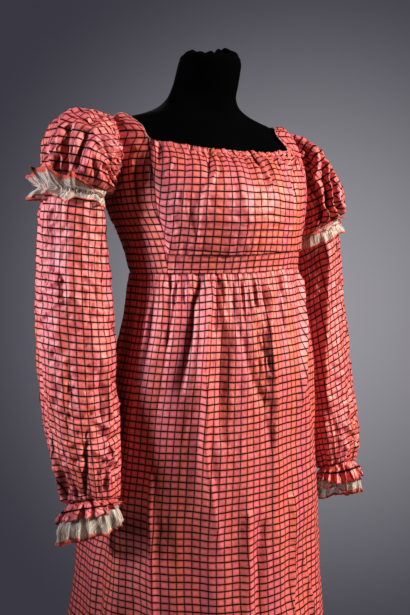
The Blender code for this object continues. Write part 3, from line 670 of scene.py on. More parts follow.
scene.world = bpy.data.worlds.new("room")
scene.world.use_nodes = True
air = scene.world.node_tree
toward = air.nodes.new("ShaderNodeVectorMath")
toward.operation = "DOT_PRODUCT"
toward.inputs[1].default_value = GLOW_WAY
air.links.new(air.nodes.new("ShaderNodeTexCoord").outputs["Generated"], toward.inputs[0])
glow = maths(air, "POWER", span(air, toward.outputs["Value"], 0.903, 1.0, smooth=False), 2.2)
seen = air.nodes.new("ShaderNodeLightPath").outputs["Is Camera Ray"]
backdrop = mix(air, glow, (0.060, 0.058, 0.076, 1), (0.36, 0.35, 0.38, 1))
warmed = mix(air, 1.0, backdrop, (1.0, 0.70, 0.62, 1), "MULTIPLY")
wire(air, air.nodes["Background"], Color=mix(air, seen, warmed, backdrop),
     Strength=span(air, seen, 0.0, 1.0, 0.18, 1.0, smooth=False))
scene.view_settings.view_transform = "Standard"
scene.view_settings.gamma, scene.view_settings.exposure = 0.85, 0.12

rim = np.radians(np.linspace(0, 360, 97)[:-1])
floor_mesh = bpy.data.meshes.new("floor")
floor_mesh.from_pydata(np.stack([FLOOR_RADIUS * np.cos(rim), FLOOR_RADIUS * np.sin(rim), 0 * rim], 1).tolist(),
                       [], [list(range(len(rim)))])
floor = bpy.data.objects.new("floor", floor_mesh)
scene.collection.objects.link(floor)
floor_mesh.materials.append(blank("pale_floor", Base_Color=(0.50, 0.49, 0.48, 1), Roughness=0.8)[0])
print("floor of", 2 * FLOOR_RADIUS, "m")

# %% [markdown]
# ## The bib
# The front of the bodice is one panel that a drawstring draws up at the neckline, so tiny gathers crowd
# under the edge and die out over the bust. A few long folds run down from the gathers and
# across to the side seams, as the crisp silk hangs a little slack on the form. Each fold's points are its
# turn, its height and how far it stands out; a fold that stands out by less than nothing is a furrow.

# %% The bib
BIB_LOW = BAND_TOP_Z + SEAM_GAP
BIB_WIDE, BIB_DEEP = 0.350, 0.160       # the drawn-up panel, as the gathers' formulas count it
STITCHING = (0.0062, 0.0013)            # the drawstring's channel: its line below the edge, and its half width
BIB_FOLDS_TALLER = 1.45                 # the table's folds stand out this many times as far

BIB_CREASES = laid(
    (4.2, 0.3, (-26, 1335, -2.2), (-27, 1312, -3), (-27.5, 1290, -0.6)),
    (3, 0, (-46.5, 1325, 2), (-49.5, 1291, 1.2)),
    (4.4, 0, (-38.5, 1277, 0.6), (-39.5, 1245, 1.6), (-41, 1198, 1)),
    (4.4, -0.3, (-27, 1288, 1), (-29.5, 1262, 1.9), (-31.5, 1242, 2.1), (-37.5, 1206, 1.7),
     (-41, 1185, 0.8)),
    (8, 0.2, (-25, 1330, -0.4), (-26.5, 1296, -1), (-31.5, 1272, -1.2), (-35.5, 1250, -1.2),
     (-37, 1222, -0.8)),
    (3.6, 0, (-22.4, 1334, 1.8), (-23.4, 1300, 2), (-26, 1285, 1.4)),
    (5, 0, (-34.5, 1226, -0.6), (-36, 1205, -1), (-38, 1192, -0.6)),
    (4, 0.3, (16, 1333, -2), (14.5, 1308, -3.6), (11, 1278, -1)),
    (4, 0, (6, 1332, -2), (9, 1310, -1.4)),
    (4, 0, (11, 1330, 1.6), (9, 1300, 2.2), (12, 1258, 0.8)),
    (4, 0, (30, 1288, -2.8), (27.5, 1254, -1.4)),
    (3, 0, (26, 1290, 1.2), (25, 1250, 0.8)),
    (2.5, 0, (-42.5, 1272, 1.4), (-42.5, 1249, 0.8)),
    (4, 0, (22, 1341, 1.2), (33, 1314, 2), (37, 1300, 0.6)),
    (3.4, 0, (38, 1340, -2), (44, 1312, -1.6)),
    (3.6, 0, (47, 1342, 2.2), (53, 1305, 1)),
    (4, 0, (-58, 1345, -1.6), (-55, 1312, -1.2)),
    (6, 0, (-8, 1320, 1), (-10, 1270, 1.4), (-6, 1220, 0.4)),
    (8, 0, (40, 1262, -1.2), (48, 1225, -1.6)),
    (6, 0, (0.5, 1215, -0.8), (1, 1190, -1.2)),
)


def bib_side(share, side):
    """Turn of the bib's side seam at each share of its height, on the given side (-1 right, 1 left)."""
    level = BIB_LOW + share * (float(neckline_z(side * BIB_TURN)) - BIB_LOW)
    return seam_inset(bib_turn(level), level, SEAM_GAP / 2)


def bib():
    """Rows run from the waistband to the neckline; across goes from -1 to 1 between the two side seams."""
    share = np.linspace(0, 1, 116)[:, None] ** 0.92
    across = np.linspace(-1, 1, 150)[None, :]
    turn = across * np.where(across < 0, bib_side(share, -1), bib_side(share, 1))
    z = BIB_LOW + share * (neckline_z(across * BIB_TURN) - BIB_LOW)
    along = across * BIB_WIDE / 2
    below, above = (1 - share) * BIB_DEEP, share * BIB_DEEP
    relief = (0.0012 + gathers(along, below, 0.0052, 0.0024, 0.010, 11)
              + gathers(along, below, 0.0110, 0.0036, 0.024, 12)
              + gathers(along, below, 0.0270, 0.0040, 0.060, 13)
              + gathers(along, above, 0.0090, 0.0010, 0.010, 14)
              + gathers(along, above, 0.0260, 0.0012, 0.030, 15)
              - 0.0042 * np.exp(-below / 0.030))
    relief = relief - 0.0017 * bell(below, *STITCHING)
    relief = relief + BIB_FOLDS_TALLER * creases(turn, z, BIB_CREASES, METRES_PER_TURN)
    relief = relief + 0.0010 * crumple(along, below, 16, 0.017) + 0.0014 * rumple_field(along, below, 18, 0.045)
    crushed = np.exp(-(((turn - 46) / 17) ** 2) - ((z - 1.325) / 0.022) ** 2)
    relief = relief + (0.0005 + 0.0028 * crushed) * crumple(along, below, 19, 0.009)
    hold = np.clip((1 - np.abs(across)) / 0.03, 0, 1)
    return on_torso(turn, z + seam_rise(turn, z)), above_form(relief * hold + 0.0006)


inner, relief = bib()
fullness = 1.02 + 0.16 * np.linspace(0, 1, len(inner)) ** 3
bodice_front = cloth("bodice_front_silk", inner, relief, SILK, flat_cut(inner, row_widths(inner) * fullness))
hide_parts("bodice_front")

# %% [markdown]
# ## The waistband
# A narrow straight band lies on the body under the bust. It is hardly gathered, but it takes in the gathers
# of the bib above and of the skirt below, which dent its edges, and a cord is piped along both of its seams.

# %% The waistband
def band():
    """Rows run up the band. Two bells, exp(-((share - place) / 0.05)^2), are the cords in its seams."""
    z = np.linspace(WAIST_Z + SEAM_GAP, BAND_TOP_Z, 18)[:, None]
    across = np.linspace(-1, 1, 160)[None, :]
    turn = across * seam_inset(bib_turn(z), z, SEAM_GAP / 2)
    along = across * 0.15
    share = (z - WAIST_Z) / (BAND_TOP_Z - WAIST_Z)
    relief = (gathers(along, share * 0.026, 0.0062, 0.0013, 0.007, 21)
              + gathers(along, (1 - share) * 0.026, 0.0100, 0.0007, 0.006, 22)
              + 0.0007 * crumple(along, z, 23, 0.016))
    relief = relief + creases(turn, z, laid((3, 0, (0.5, 1184, 1), (2, 1165, 0.6))), METRES_PER_TURN)
    cords = 0.0009 * bell(share, 0.96, 0.05) + 0.0006 * bell(share, 0.05, 0.05)
    return on_torso(turn, z + seam_rise(turn, z)), relief + cords


inner, relief = band()
waistband = cloth("waistband_silk", inner, relief, SILK, flat_cut(inner, row_widths(inner)))
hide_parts("waistband")

# %% [markdown]
# ## The armhole and the fan round it
# Places on the armhole, as on a sleeve, are angles too: 0 is its outermost line, 90 its front and 180 the
# side that faces the body. Strap and side panel are one piece, a fan round the armhole. For each place on
# the armhole, one formula gives the point of the panel's outer edge that lies across from it.

# %% The armhole and the fan
ARMHOLE_TURN, ARMHOLE_HALF_TURN = 93.0, 14.5
ARMHOLE_Z, ARMHOLE_HALF_HEIGHT = 1.334, 0.050
SHOULDER_PLACE, NECK_CORNER_PLACE, BIB_FOOT_PLACE, SIDE_BACK_PLACE = -30.0, 52.0, 130.0, 225.0
FAN_PLACES = np.concatenate([
    np.linspace(SHOULDER_PLACE, NECK_CORNER_PLACE, 9)[:-1],
    np.linspace(NECK_CORNER_PLACE, BIB_FOOT_PLACE, 10),
    np.linspace(BIB_FOOT_PLACE, SIDE_BACK_PLACE, 9)[1:],
])


def armhole(place):
    """Turn and height of the armhole's edge: an oval round (ARMHOLE_TURN, ARMHOLE_Z)."""
    place = np.radians(np.asarray(place, float))
    return (ARMHOLE_TURN - ARMHOLE_HALF_TURN * np.sin(place),
            ARMHOLE_Z + ARMHOLE_HALF_HEIGHT * np.cos(place))


def fan_outer(place, side):
    """Turn and height of the panel's outer edge for a place on the armhole: strap, bib seam, then waist."""
    share = np.array([0.0, 0.20, 0.40, 0.60, 0.76, 0.90, 1.0])
    corner_z = float(neckline_z(BIB_TURN * SIDES[side]))
    seam_z = np.concatenate([(BIB_LOW + share * (corner_z - BIB_LOW))[::-1],
                             [BAND_TOP_Z, (WAIST_Z + BAND_TOP_Z) / 2, WAIST_Z + SEAM_GAP]])
    strap = np.linspace(SHOULDER_TURN, BIB_TURN, 9)[:-1]
    waist = np.linspace(float(BIB_EDGE[0].turn), SIDE_BACK_TURN, 9)[1:]
    turns = np.concatenate([strap, seam_inset(bib_turn(seam_z), seam_z, -SEAM_GAP / 2), waist])
    heights = np.concatenate([neckline_z(strap * SIDES[side]), seam_z, np.full(len(waist), WAIST_Z + SEAM_GAP)])
    return np.interp(place, FAN_PLACES, turns), np.interp(place, FAN_PLACES, heights)


print("the fan's edge has", len(FAN_PLACES), "knots, from place", FAN_PLACES[0], "to", FAN_PLACES[-1])

# %% [markdown]
# ## Strap and side panels
# The columns of the grid go round the fan and its rows go in to the armhole, where the sleeve pulls the silk
# into small folds. The strap stands a little off the shoulder, as it carries the gown's weight on an edge.

# %% Strap and side panels
METRES_PER_PLACE = 0.0011       # round the armhole
SIDE_FOLDS_TALLER = 1.8

SIDE_CREASES = {
    "right": laid(
        (4, 0, (67, 1262, 1.6), (69, 1322, 1.4)),
        (3.5, 0, (78, 1327, 2.2), (74, 1318, 0.4)),
        (3.4, 0, (80.5, 1313, 2.6), (75, 1303, 0.6)),
        (3.4, 0, (83.5, 1301, 2.4), (79, 1283, 0.8)),
        (4, 0, (88, 1296, 2.2), (86, 1270, 0.6)),
    ),
    "left": laid(
        (4, 0, (70, 1255, 1.2), (71, 1310, 1.4)),
        (3.4, 0, (80, 1318, 2.2), (75, 1305, 0.4)),
        (3.6, 0, (84, 1300, 2.2), (79, 1281, 0.8)),
    ),
}


def side_cut(place, points, turn, z):
    """The flat cut. Below, u is the turn and v the height, so the check runs on from the bib. Up the strap,
    u is the length across it and v the length along it; the two are blended over 28 degrees of place."""
    over = np.linalg.norm(np.diff(points, axis=0), axis=-1)
    over = np.concatenate([np.zeros((1, points.shape[1])), np.cumsum(over, axis=0)])
    along = np.linalg.norm(np.diff(points[len(points) // 3], axis=0), axis=-1)
    along = np.concatenate([[0.0], np.cumsum(along)])
    along = np.interp(46.0, place.ravel(), along) - along
    foot = float(np.interp(46.0, place.ravel(), z[len(points) // 3]))
    strap = ease(np.clip((60 - place) / 28, 0, 1))
    u = (1 - strap) * turn * METRES_PER_TURN + strap * (60 * METRES_PER_TURN + over)
    v = (1 - strap) * z + strap * (foot + along[None, :])
    return np.stack([u, v + 0.0038], axis=-1)


def side_panel(side):
    """Columns go round the fan, rows from the outer edge in to the armhole."""
    place = np.linspace(SHOULDER_PLACE, SIDE_BACK_PLACE, 150)[None, :]
    share = np.linspace(0, 1.02, 74)[:, None]
    inner_turn, inner_z = armhole(place)
    outer_turn, outer_z = fan_outer(place, side)
    turn = outer_turn + share * (inner_turn - outer_turn)
    z = outer_z + share * (inner_z - outer_z)
    along = place * METRES_PER_PLACE
    from_hole = (1 - share) * np.hypot((outer_turn - inner_turn) * METRES_PER_TURN, outer_z - inner_z)
    seed = 31 if side == "right" else 41
    relief = (gathers(along, from_hole, 0.0080, 0.0032, 0.014, seed)
              + gathers(along, from_hole, 0.0190, 0.0036, 0.032, seed + 1)
              - 0.0026 * np.exp(-from_hole / 0.020)
              + 0.0014 * crumple(turn * METRES_PER_TURN, z, seed + 2, 0.014)
              + 0.0050 * np.clip((z - 1.355) / 0.02, 0, 1) * np.sin(np.pi * np.clip(share, 0, 1))
              + SIDE_FOLDS_TALLER * creases(turn, z, SIDE_CREASES[side], METRES_PER_TURN))
    hold = np.clip(share / 0.06, 0, 1) * np.clip((1.02 - share) / 0.04, 0, 1)
    points = on_torso(turn, z + seam_rise(turn * SIDES[side], z))
    return mirrored(points, side), above_form(relief * hold, -0.0025), side_cut(place, points, turn, z)


for side in SIDES:
    inner, relief, uv = side_panel(side)
    uv = uv * (SIDES[side], 1.0)
    panel = cloth("bodice_side_" + side + "_silk", inner, relief, SILK, uv, flip=side == "right")
    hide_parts("bodice_side_" + side)

# %% [markdown]
# ## The back
# The back is one panel between the two side-back seams. Its edge is a single line up the seam, round the
# armhole and up to the shoulder, and each row of the grid runs between the two points of that line which
# have the same share of its length. It is gathered at the neckline and again at the waist.

# %% The back
BACK_DEEP = 0.205       # the panel's height, as the gathers' formulas count it


def back_edge(share):
    """The back panel's edge as one line: up the side-back seam, round the armhole, up the shoulder seam."""
    low_turn, low_z = armhole(SIDE_BACK_PLACE)
    high_turn, high_z = armhole(SHOULDER_PLACE)
    arc_turn, arc_z = armhole(np.linspace(SIDE_BACK_PLACE, 360 + SHOULDER_PLACE, 7)[1:-1])
    waist_z, neck_z = WAIST_Z + SEAM_GAP, float(neckline_z(SHOULDER_TURN))
    up = np.linspace(0, 1, 5)
    turns = np.concatenate([SIDE_BACK_TURN + up * (low_turn - SIDE_BACK_TURN), arc_turn,
                            high_turn + up * (SHOULDER_TURN - high_turn)])
    heights = np.concatenate([waist_z + up * (low_z - waist_z), arc_z, high_z + up * (neck_z - high_z)])
    knots = np.linspace(0, 1, len(turns))
    return np.interp(share, knots, turns), np.interp(share, knots, heights)


def back_panel():
    """Level rows in the middle bend to the edge's height with |across|^1.6, so the outline is met exactly."""
    share = np.linspace(0, 1, 90)[:, None]
    across = np.linspace(-1, 1, 100)[None, :]
    edge_turn, edge_z = back_edge(share)
    low, high = WAIST_Z + SEAM_GAP, float(neckline_z(180.0))
    inner = edge_turn + math.degrees(1.5 * SEAM_GAP / WAIST_RADIUS)
    z = edge_z + (low + (high - low) * share - edge_z) * (1 - np.abs(across) ** 1.6)
    turn = 180 + across * (180 - inner)
    along = across * 0.15
    below, above = (1 - share) * BACK_DEEP, share * BACK_DEEP
    relief = (gathers(along, below, 0.0055, 0.0010, 0.012, 51)
              + gathers(along, below, 0.0130, 0.0013, 0.030, 52)
              + gathers(along, above, 0.0085, 0.0010, 0.014, 53)
              + gathers(along, above, 0.0220, 0.0014, 0.045, 54)
              + 0.0004 * crumple(along, share * 0.2, 55, 0.018)
              - 0.0010 * bell(below, *STITCHING))
    hold = np.clip((1 - np.abs(across)) / 0.04, 0, 1)
    return on_torso(turn, z + seam_rise(turn, z)), above_form(relief * hold, -0.0025)


inner, relief = back_panel()
bodice_back = cloth("bodice_back_silk", inner, relief, SILK, flat_cut(inner, 0.34))
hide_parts("bodice_back")

# %% [markdown]
# ## The skirt's form
# The skirt's smooth form is a table of sections again, wide and deep behind at the hem. The large folds are
# on top of it. Each starts at its own height, drifts round to another turn by the hem, and is a bell across.

# %% The skirt's form
FOLD_START_LENGTH = 0.12        # a fold comes up to its full height over this length

SKIRT = in_mm(Section, (
    (60, 255, -178, 355, 95), (250, 238, -162, 325, 85), (450, 216, -146, 290, 73),
    (640, 187, -129, 234, 55), (742, 177.5, -121, 215, 47), (820, 171, -119, 197, 37),
    (900, 163.5, -119, 169, 22), (990, 156, -119, 134, 5), (1030, 150, -119, 116, -2),
    (1100, 137.5, -113, 100, -5), (1130, 132.5, -108, 98, -2), (1160, 129.5, -101, 98, 1),
))

Fold = namedtuple("Fold", "turn_waist turn_hem start_z out_top out_hem half_turn")

SKIRT_FOLDS = [Fold(*row) for row in (
    (-154, -158, 1.15, 0.006, 0.024, 9), (-130, -134, 1.15, 0.006, 0.022, 9),
    (-106, -114, 0.9, 0, 0.02, 8), (-73, -70, 1.15, 0.004, 0.014, 7), (-58, -46, 1.02, 0, 0.012, 5.5),
    (-39, 4, 1.15, 0.005, 0.006, 7), (-9, -3, 0.96, 0, 0.01, 5), (12, 14, 1.15, 0.004, 0.008, 6),
    (29, 24, 0.96, 0, 0.01, 6), (38, 45, 1.15, 0.003, 0.012, 7), (61, 68, 1.14, 0.002, 0.014, 8),
    (84, 89, 0.86, 0, 0.018, 8), (106, 111, 0.86, 0, 0.02, 8), (130, 134, 1.15, 0.006, 0.022, 9),
    (154, 158, 1.15, 0.006, 0.024, 9), (180, 181, 1.15, 0.006, 0.024, 9),
)]


def fold_out(turn, z):
    """How far the large folds stand out: each is a bell, exp(-(away / half)^2), that grows towards the hem."""
    fall = np.clip((WAIST_Z - z) / (WAIST_Z - HEM_Z), 0, 1)
    out = np.zeros(np.broadcast(turn, z).shape)
    for fold in SKIRT_FOLDS:
        line = fold.turn_waist + (fold.turn_hem - fold.turn_waist) * fall
        away = (turn - line + 180) % 360 - 180
        started = np.clip((fold.start_z - z) / FOLD_START_LENGTH, 0, 1)
        height = fold.out_top + (fold.out_hem - fold.out_top) * fall
        out = out + height * ease(started) * bell(away, 0, fold.half_turn)
    return out


def skirt_form(turn, z):
    """Point of the skirt's smooth form: the section, moved straight out by the large folds."""
    radians = np.radians(turn)
    way = np.stack([np.sin(radians), -np.cos(radians), np.zeros_like(radians)], axis=-1)
    return section_point(SKIRT, turn, z) + way * fold_out(turn, z)[..., None]


hem = skirt_form(np.linspace(0, 360, 361)[None, :], np.full((1, 361), HEM_Z))
print("large folds:", len(SKIRT_FOLDS), "round a hem of", row_widths(hem).round(2), "m")

# %% [markdown]
# ## The skirt's small folds
# These folds are given one by one: those of the front and the near side first, then the back in the same
# manner. Each row is its half width, its lean, and then turn, height and how far it stands out.

# %% The skirt's small folds
SKIRT_CREASES = laid(
    (5, 0.2, (-72, 1157, 1.2), (-74.5, 1090, 2), (-76, 985, 1)),
    (3, 0, (-57, 1144, -1.6), (-61.5, 1061, -0.8)),
    (7, -0.2, (-42, 1155, -3), (-47, 1116, -4), (-48.5, 1061, -3), (-50, 1000, -1)),
    (5, 0.3, (-32, 1155, 2.8), (-36.5, 1096, 4), (-36.5, 1031, 4), (-33, 969, 3.6), (-32.5, 925, 3.4),
     (-30, 890, 3.2), (-25, 830, 2.2), (-21, 780, 1)),
    (10, 0, (-28, 1080, -2), (-27, 1000, -3), (-24, 930, -2)),
    (3.6, 0, (-11, 1158, -2.2), (-11, 1095, -1)),
    (4, 0, (0.5, 1158, -2.4), (0.2, 1115, -1.6)),
    (3.6, 0, (8, 1158, -2), (8.5, 1120, -0.8)),
    (7.5, 0, (-16.5, 1100, -0.4), (-14.5, 1078, -1), (-5, 1011, -1.4), (3, 981, -1.4), (8.5, 914, -0.8)),
    (6, 0.2, (14, 1130, 1.2), (9, 1058, 2), (12.5, 979, 1.6), (10, 905, 0.6)),
    (6, 0, (22.5, 1122, -1.4), (28, 1060, -1)),
    (4, 0, (26, 1157, -2), (28, 1110, -0.8)),
    (4, 0, (36, 1157, -2), (38, 1112, -0.8)),
    (4, 0, (49, 1157, -1.8), (50, 1105, -0.8)),
    (6.5, 0.2, (64.5, 1140, 2.2), (50, 1075, 3.4), (42, 1035, 3), (34, 965, 1.4)),
    (4, 0, (-59, 880, 2.2), (-55, 800, 3), (-50, 680, 2), (-47, 560, 1)),
    (8, 0, (1.5, 800, -2.6), (-1, 720, -3.4), (-2, 640, -2.6), (-3, 500, -1)),
    (5.5, 0, (-6.8, 820, 2), (-7.2, 749, 2.6), (-8, 660, 1.4)),
    (7, 0, (24, 830, 1.6), (21.5, 709, 3.6), (17, 640, 3), (14, 520, 1.2)),
    (4.5, 0, (29, 760, 1), (35.5, 665, 2.6), (37, 570, 1.4)),
    (9, 0, (-84, 790, -1.4), (-83, 664, -3), (-82, 540, -1.6)),
    (6, 0, (-87, 1150, 0.6), (-88, 1070, 0.6)),
    (4, 0, (-78.5, 1140, 0.8), (-76.5, 1094, 0.6)),
    (4, 0, (-65, 1145, 1.8), (-66, 1090, 0.8)),
    (7, 0, (92, 1155, 2.4), (97, 1040, 3.6), (95, 900, 2)),
    (8, 0, (113, 1150, -2.6), (117, 1020, -3.4), (121, 880, -1.4)),
    (6, 0, (137, 1155, 2.6), (133, 1030, 3.6), (140, 860, 1.8)),
    (7, 0, (164, 1155, -2.6), (167, 1000, -3.6), (171, 800, -1.8)),
    (6, 0, (176, 1156, 2.4), (179, 1020, 3.6), (177, 840, 2.4)),
    (7, 0, (-171, 1155, -2.6), (-167, 990, -3.4), (-169, 780, -1.8)),
    (6, 0, (-147, 1155, 2.6), (-143, 1030, 3.4), (-139, 860, 1.8)),
    (7, 0, (-122, 1152, -2.4), (-119, 1010, -3.2), (-123, 850, -1.6)),
    (6, 0, (-101, 1152, 2.2), (-104, 1020, 3), (-99, 900, 1.2)),
)
print("small folds:", len(SKIRT_CREASES))

# %% [markdown]
# ## Skirt panels
# Four panels hang from the raised waist: a wide front, two narrow sides and a full back. Each is gathered
# into the waist seam. The tiny gathers open into a few long soft folds, which the smooth form already has,
# and fine ridges run between those. The cut gets wider towards the hem, so the lines of the check spread.

# %% Skirt panels
def drop_levels(fine, coarse):
    """Heights from the hem up to the waist: coarse rows low down, ever finer ones towards the gathers."""
    upper = WAIST_Z - SEAM_GAP - 0.50 * np.linspace(0, 1, fine) ** 1.35
    lower = np.linspace(upper[-1], HEM_Z, coarse + 1)[1:]
    return np.concatenate([upper, lower])[::-1]


def skirt_relief(turn, z, along):
    """Small gathers in three sizes, the folds laid by hand, long faint ridges, and crumples."""
    down, seed = WAIST_Z - z, 61
    relief = (gathers(along, down, 0.0062, 0.0030, 0.011, seed)
              + gathers(along, down, 0.0160, 0.0062, 0.034, seed + 1)
              + gathers(along, down, 0.0370, 0.0085, 0.095, seed + 2)
              - (0.0044 * np.exp(-down / 0.10) + 0.0026 * np.exp(-down / 0.03)))
    long_ridges = 0.0016 * rumple(along + 0.10 * rumple(z, seed + 3, 0.30), seed + 4, 0.034)
    relief = relief + long_ridges * np.clip(down / 0.15, 0, 1)
    by_hand = creases(turn, z, SKIRT_CREASES, METRES_PER_TURN, wrap=360)
    relief = relief + (2.0 + 0.6 * np.clip((z - 0.9) / 0.15, 0, 1)) * by_hand * np.clip(down / 0.016, 0, 1)
    broad_ridges = 0.0075 * rumple(along + 0.03 * rumple(z, seed + 11, 0.4), seed + 12, 0.085)
    relief = relief + broad_ridges * np.clip(down / 0.45, 0, 1)
    relief = relief + 0.0011 * crumple(along, z * 0.55, seed + 6, 0.021) * np.clip(down / 0.03, 0, 1)
    relief = relief + 0.0016 * rumple_field(along, z * 0.6, seed + 8, 0.060)
    crushed = np.exp(-(((turn - 5 - 22 * (1.05 - z)) / 8) ** 2) - ((z - 1.03) / 0.085) ** 4)
    relief = relief + 0.0028 * crushed * crumple(along, z * 0.7, seed + 13, 0.011)
    relief = relief - 0.0060 * np.clip((0.80 - z) / 0.20, 0, 1)
    waist_stitch = 0.0006 * bell(down, 0.0035, 0.0012)
    hem_stitch = 0.0007 * bell(z - HEM_Z, 0.022, 0.002)
    relief = relief * (0.25 + 0.75 * np.clip(down / 0.012, 0, 1) ** 0.7)
    return above_form(relief - waist_stitch - hem_stitch, -(0.0034 + 0.12 * np.maximum(down, 0)))


Panel = namedtuple("Panel", "name start end columns fine coarse widths middle")

# widths: the cut at the waist, at z = 1.0, at 0.64 and at the hem; middle: where its centre lies on the seam
PANELS = (
    Panel("skirt_front", -75.0, 75.0, 200, 128, 52, (0.430, 0.430, 0.490, 0.620), 0.0),
    Panel("skirt_side_left", 75.0, 123.0, 54, 128, 40, (0.150, 0.150, 0.165, 0.200), 0.290),
    Panel("skirt_back", 123.0, 237.0, 110, 96, 30, (0.460, 0.460, 0.460, 0.620), 0.595),
    Panel("skirt_side_right", 237.0, 285.0, 58, 128, 40, (0.150, 0.150, 0.165, 0.200), -0.290),
)

# the gathers' noise has no period, so over its last 14 degrees the back fades into the right side's gathers
WAIST_ROUND = sum(panel.widths[0] for panel in PANELS)

for panel in PANELS:
    z = drop_levels(panel.fine, panel.coarse)[:, None]
    inset = math.degrees(SEAM_GAP / 2 / WAIST_RADIUS)
    turn = np.linspace(panel.start + inset, panel.end - inset, panel.columns)[None, :]
    cut_width = glide(z[:, 0], (HEM_Z, 0.64, 1.0, WAIST_Z), panel.widths[::-1])
    share = np.linspace(-0.5, 0.5, panel.columns)[None, :]
    along = panel.middle + share * panel.widths[0] * np.ones_like(z)
    relief = skirt_relief(turn, z, along)
    if panel.name == "skirt_back":
        fade = np.clip((turn - 223) / 14, 0, 1)
        relief = (1 - fade) * relief + fade * skirt_relief(turn, z, along - WAIST_ROUND)
    turns, heights = np.broadcast_arrays(turn, z)
    inner = skirt_form(turns, heights)
    inner[..., 2] += seam_rise(turns, heights)
    piece = cloth(panel.name + "_silk", inner, relief, SILK, flat_cut(inner, cut_width))
    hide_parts(panel.name)
    widest = max(panel.widths)

# %% [markdown]
# ## The sleeves' form
# A sleeve is a stack of ovals that lean where the arm bends. Each row of the table is the oval's middle, its
# two half widths, and how steeply it climbs outwards and forwards.

# %% The sleeves' form
Ring = namedtuple("Ring", "out y z wide deep climb_out climb_front")

SLEEVES = {
    "right": [Ring(*row) for row in (
        (0.2095, 0.03, 1.275, 0.0475, 0.046, 0.12, -0.06),
        (0.2115, 0.03, 1.245, 0.0495, 0.045, 0.1, -0.05),
        (0.2155, 0.028, 1.195, 0.052, 0.043, 0.06, -0.03),
        (0.219, 0.022, 1.12, 0.053, 0.0415, 0.03, -0.03), (0.2205, 0.013, 1.05, 0.053, 0.0405, 0, 0),
        (0.2205, 0.004, 0.98, 0.0515, 0.0395, 0, 0.05),
        (0.22, -0.006, 0.93, 0.0475, 0.0375, 0.02, 0.14),
        (0.219, -0.017, 0.893, 0.0425, 0.034, 0.04, 0.24),
        (0.2165, -0.022, 0.864, 0.0365, 0.029, 0.06, 0.34),
        (0.2135, -0.024, 0.842, 0.031, 0.023, 0.08, 0.4),
    )],
    "left": [Ring(*row) for row in (
        (0.1965, 0.03, 1.22, 0.044, 0.044, 0.5, 0.22), (0.2005, 0.03, 1.195, 0.0465, 0.044, 0.4, 0.18),
        (0.208, 0.029, 1.15, 0.05, 0.043, 0.2, 0.12), (0.211, 0.024, 1.1, 0.053, 0.042, 0.08, 0.05),
        (0.2115, 0.014, 1.05, 0.053, 0.041, 0.03, 0.02), (0.215, 0.004, 0.98, 0.0515, 0.0395, 0, 0.05),
        (0.216, -0.008, 0.925, 0.047, 0.037, 0.02, 0.14),
        (0.215, -0.019, 0.888, 0.041, 0.033, 0.04, 0.24),
        (0.2145, -0.024, 0.863, 0.035, 0.028, 0.06, 0.34),
        (0.214, -0.026, 0.845, 0.029, 0.0225, 0.08, 0.4),
    )],
}
SLEEVE_SKEW = 35.0      # the oval's long side points this far forward of straight inwards


def sleeve_point(side, z, place, off=0.0, down=0.0):
    """Point of a long sleeve: a skewed oval round the ring's middle, tilted by its two climbs."""
    table = SLEEVES[side][::-1]
    heights = column(table, "z")
    out, y, wide, deep, climb_out, climb_front = (
        glide(z, heights, column(table, name))
        for name in ("out", "y", "wide", "deep", "climb_out", "climb_front"))
    high = np.clip((z - 1.12) / 0.13, 0, 1) ** 1.3
    off = off - 0.0165 * high * bell(np.asarray(place, float) % 360, 160, 44)
    skew = math.radians(SLEEVE_SKEW)
    around = math.pi - skew - np.radians(place)
    long_way, short_way = (wide + off) * np.cos(around), (deep + off) * np.sin(around)
    away = short_way * math.sin(skew) - long_way * math.cos(skew)
    forward = long_way * math.sin(skew) + short_way * math.cos(skew)
    return np.stack([out + away, y - forward, z - down + climb_out * away + climb_front * forward], axis=-1)


print("sleeves from the band at", SLEEVES["right"][0].z, "to the wrist at", SLEEVES["right"][-1].z, "m")

# %% [markdown]
# ## The sleeves' folds
# The empty arm hangs by its own weight, so it is covered in small sharp folds. Each row is the fold's half
# width, its lean, and then place, height and how far it stands out. The last rows of the right sleeve are
# short cross folds, where the low part sags above the wrist.

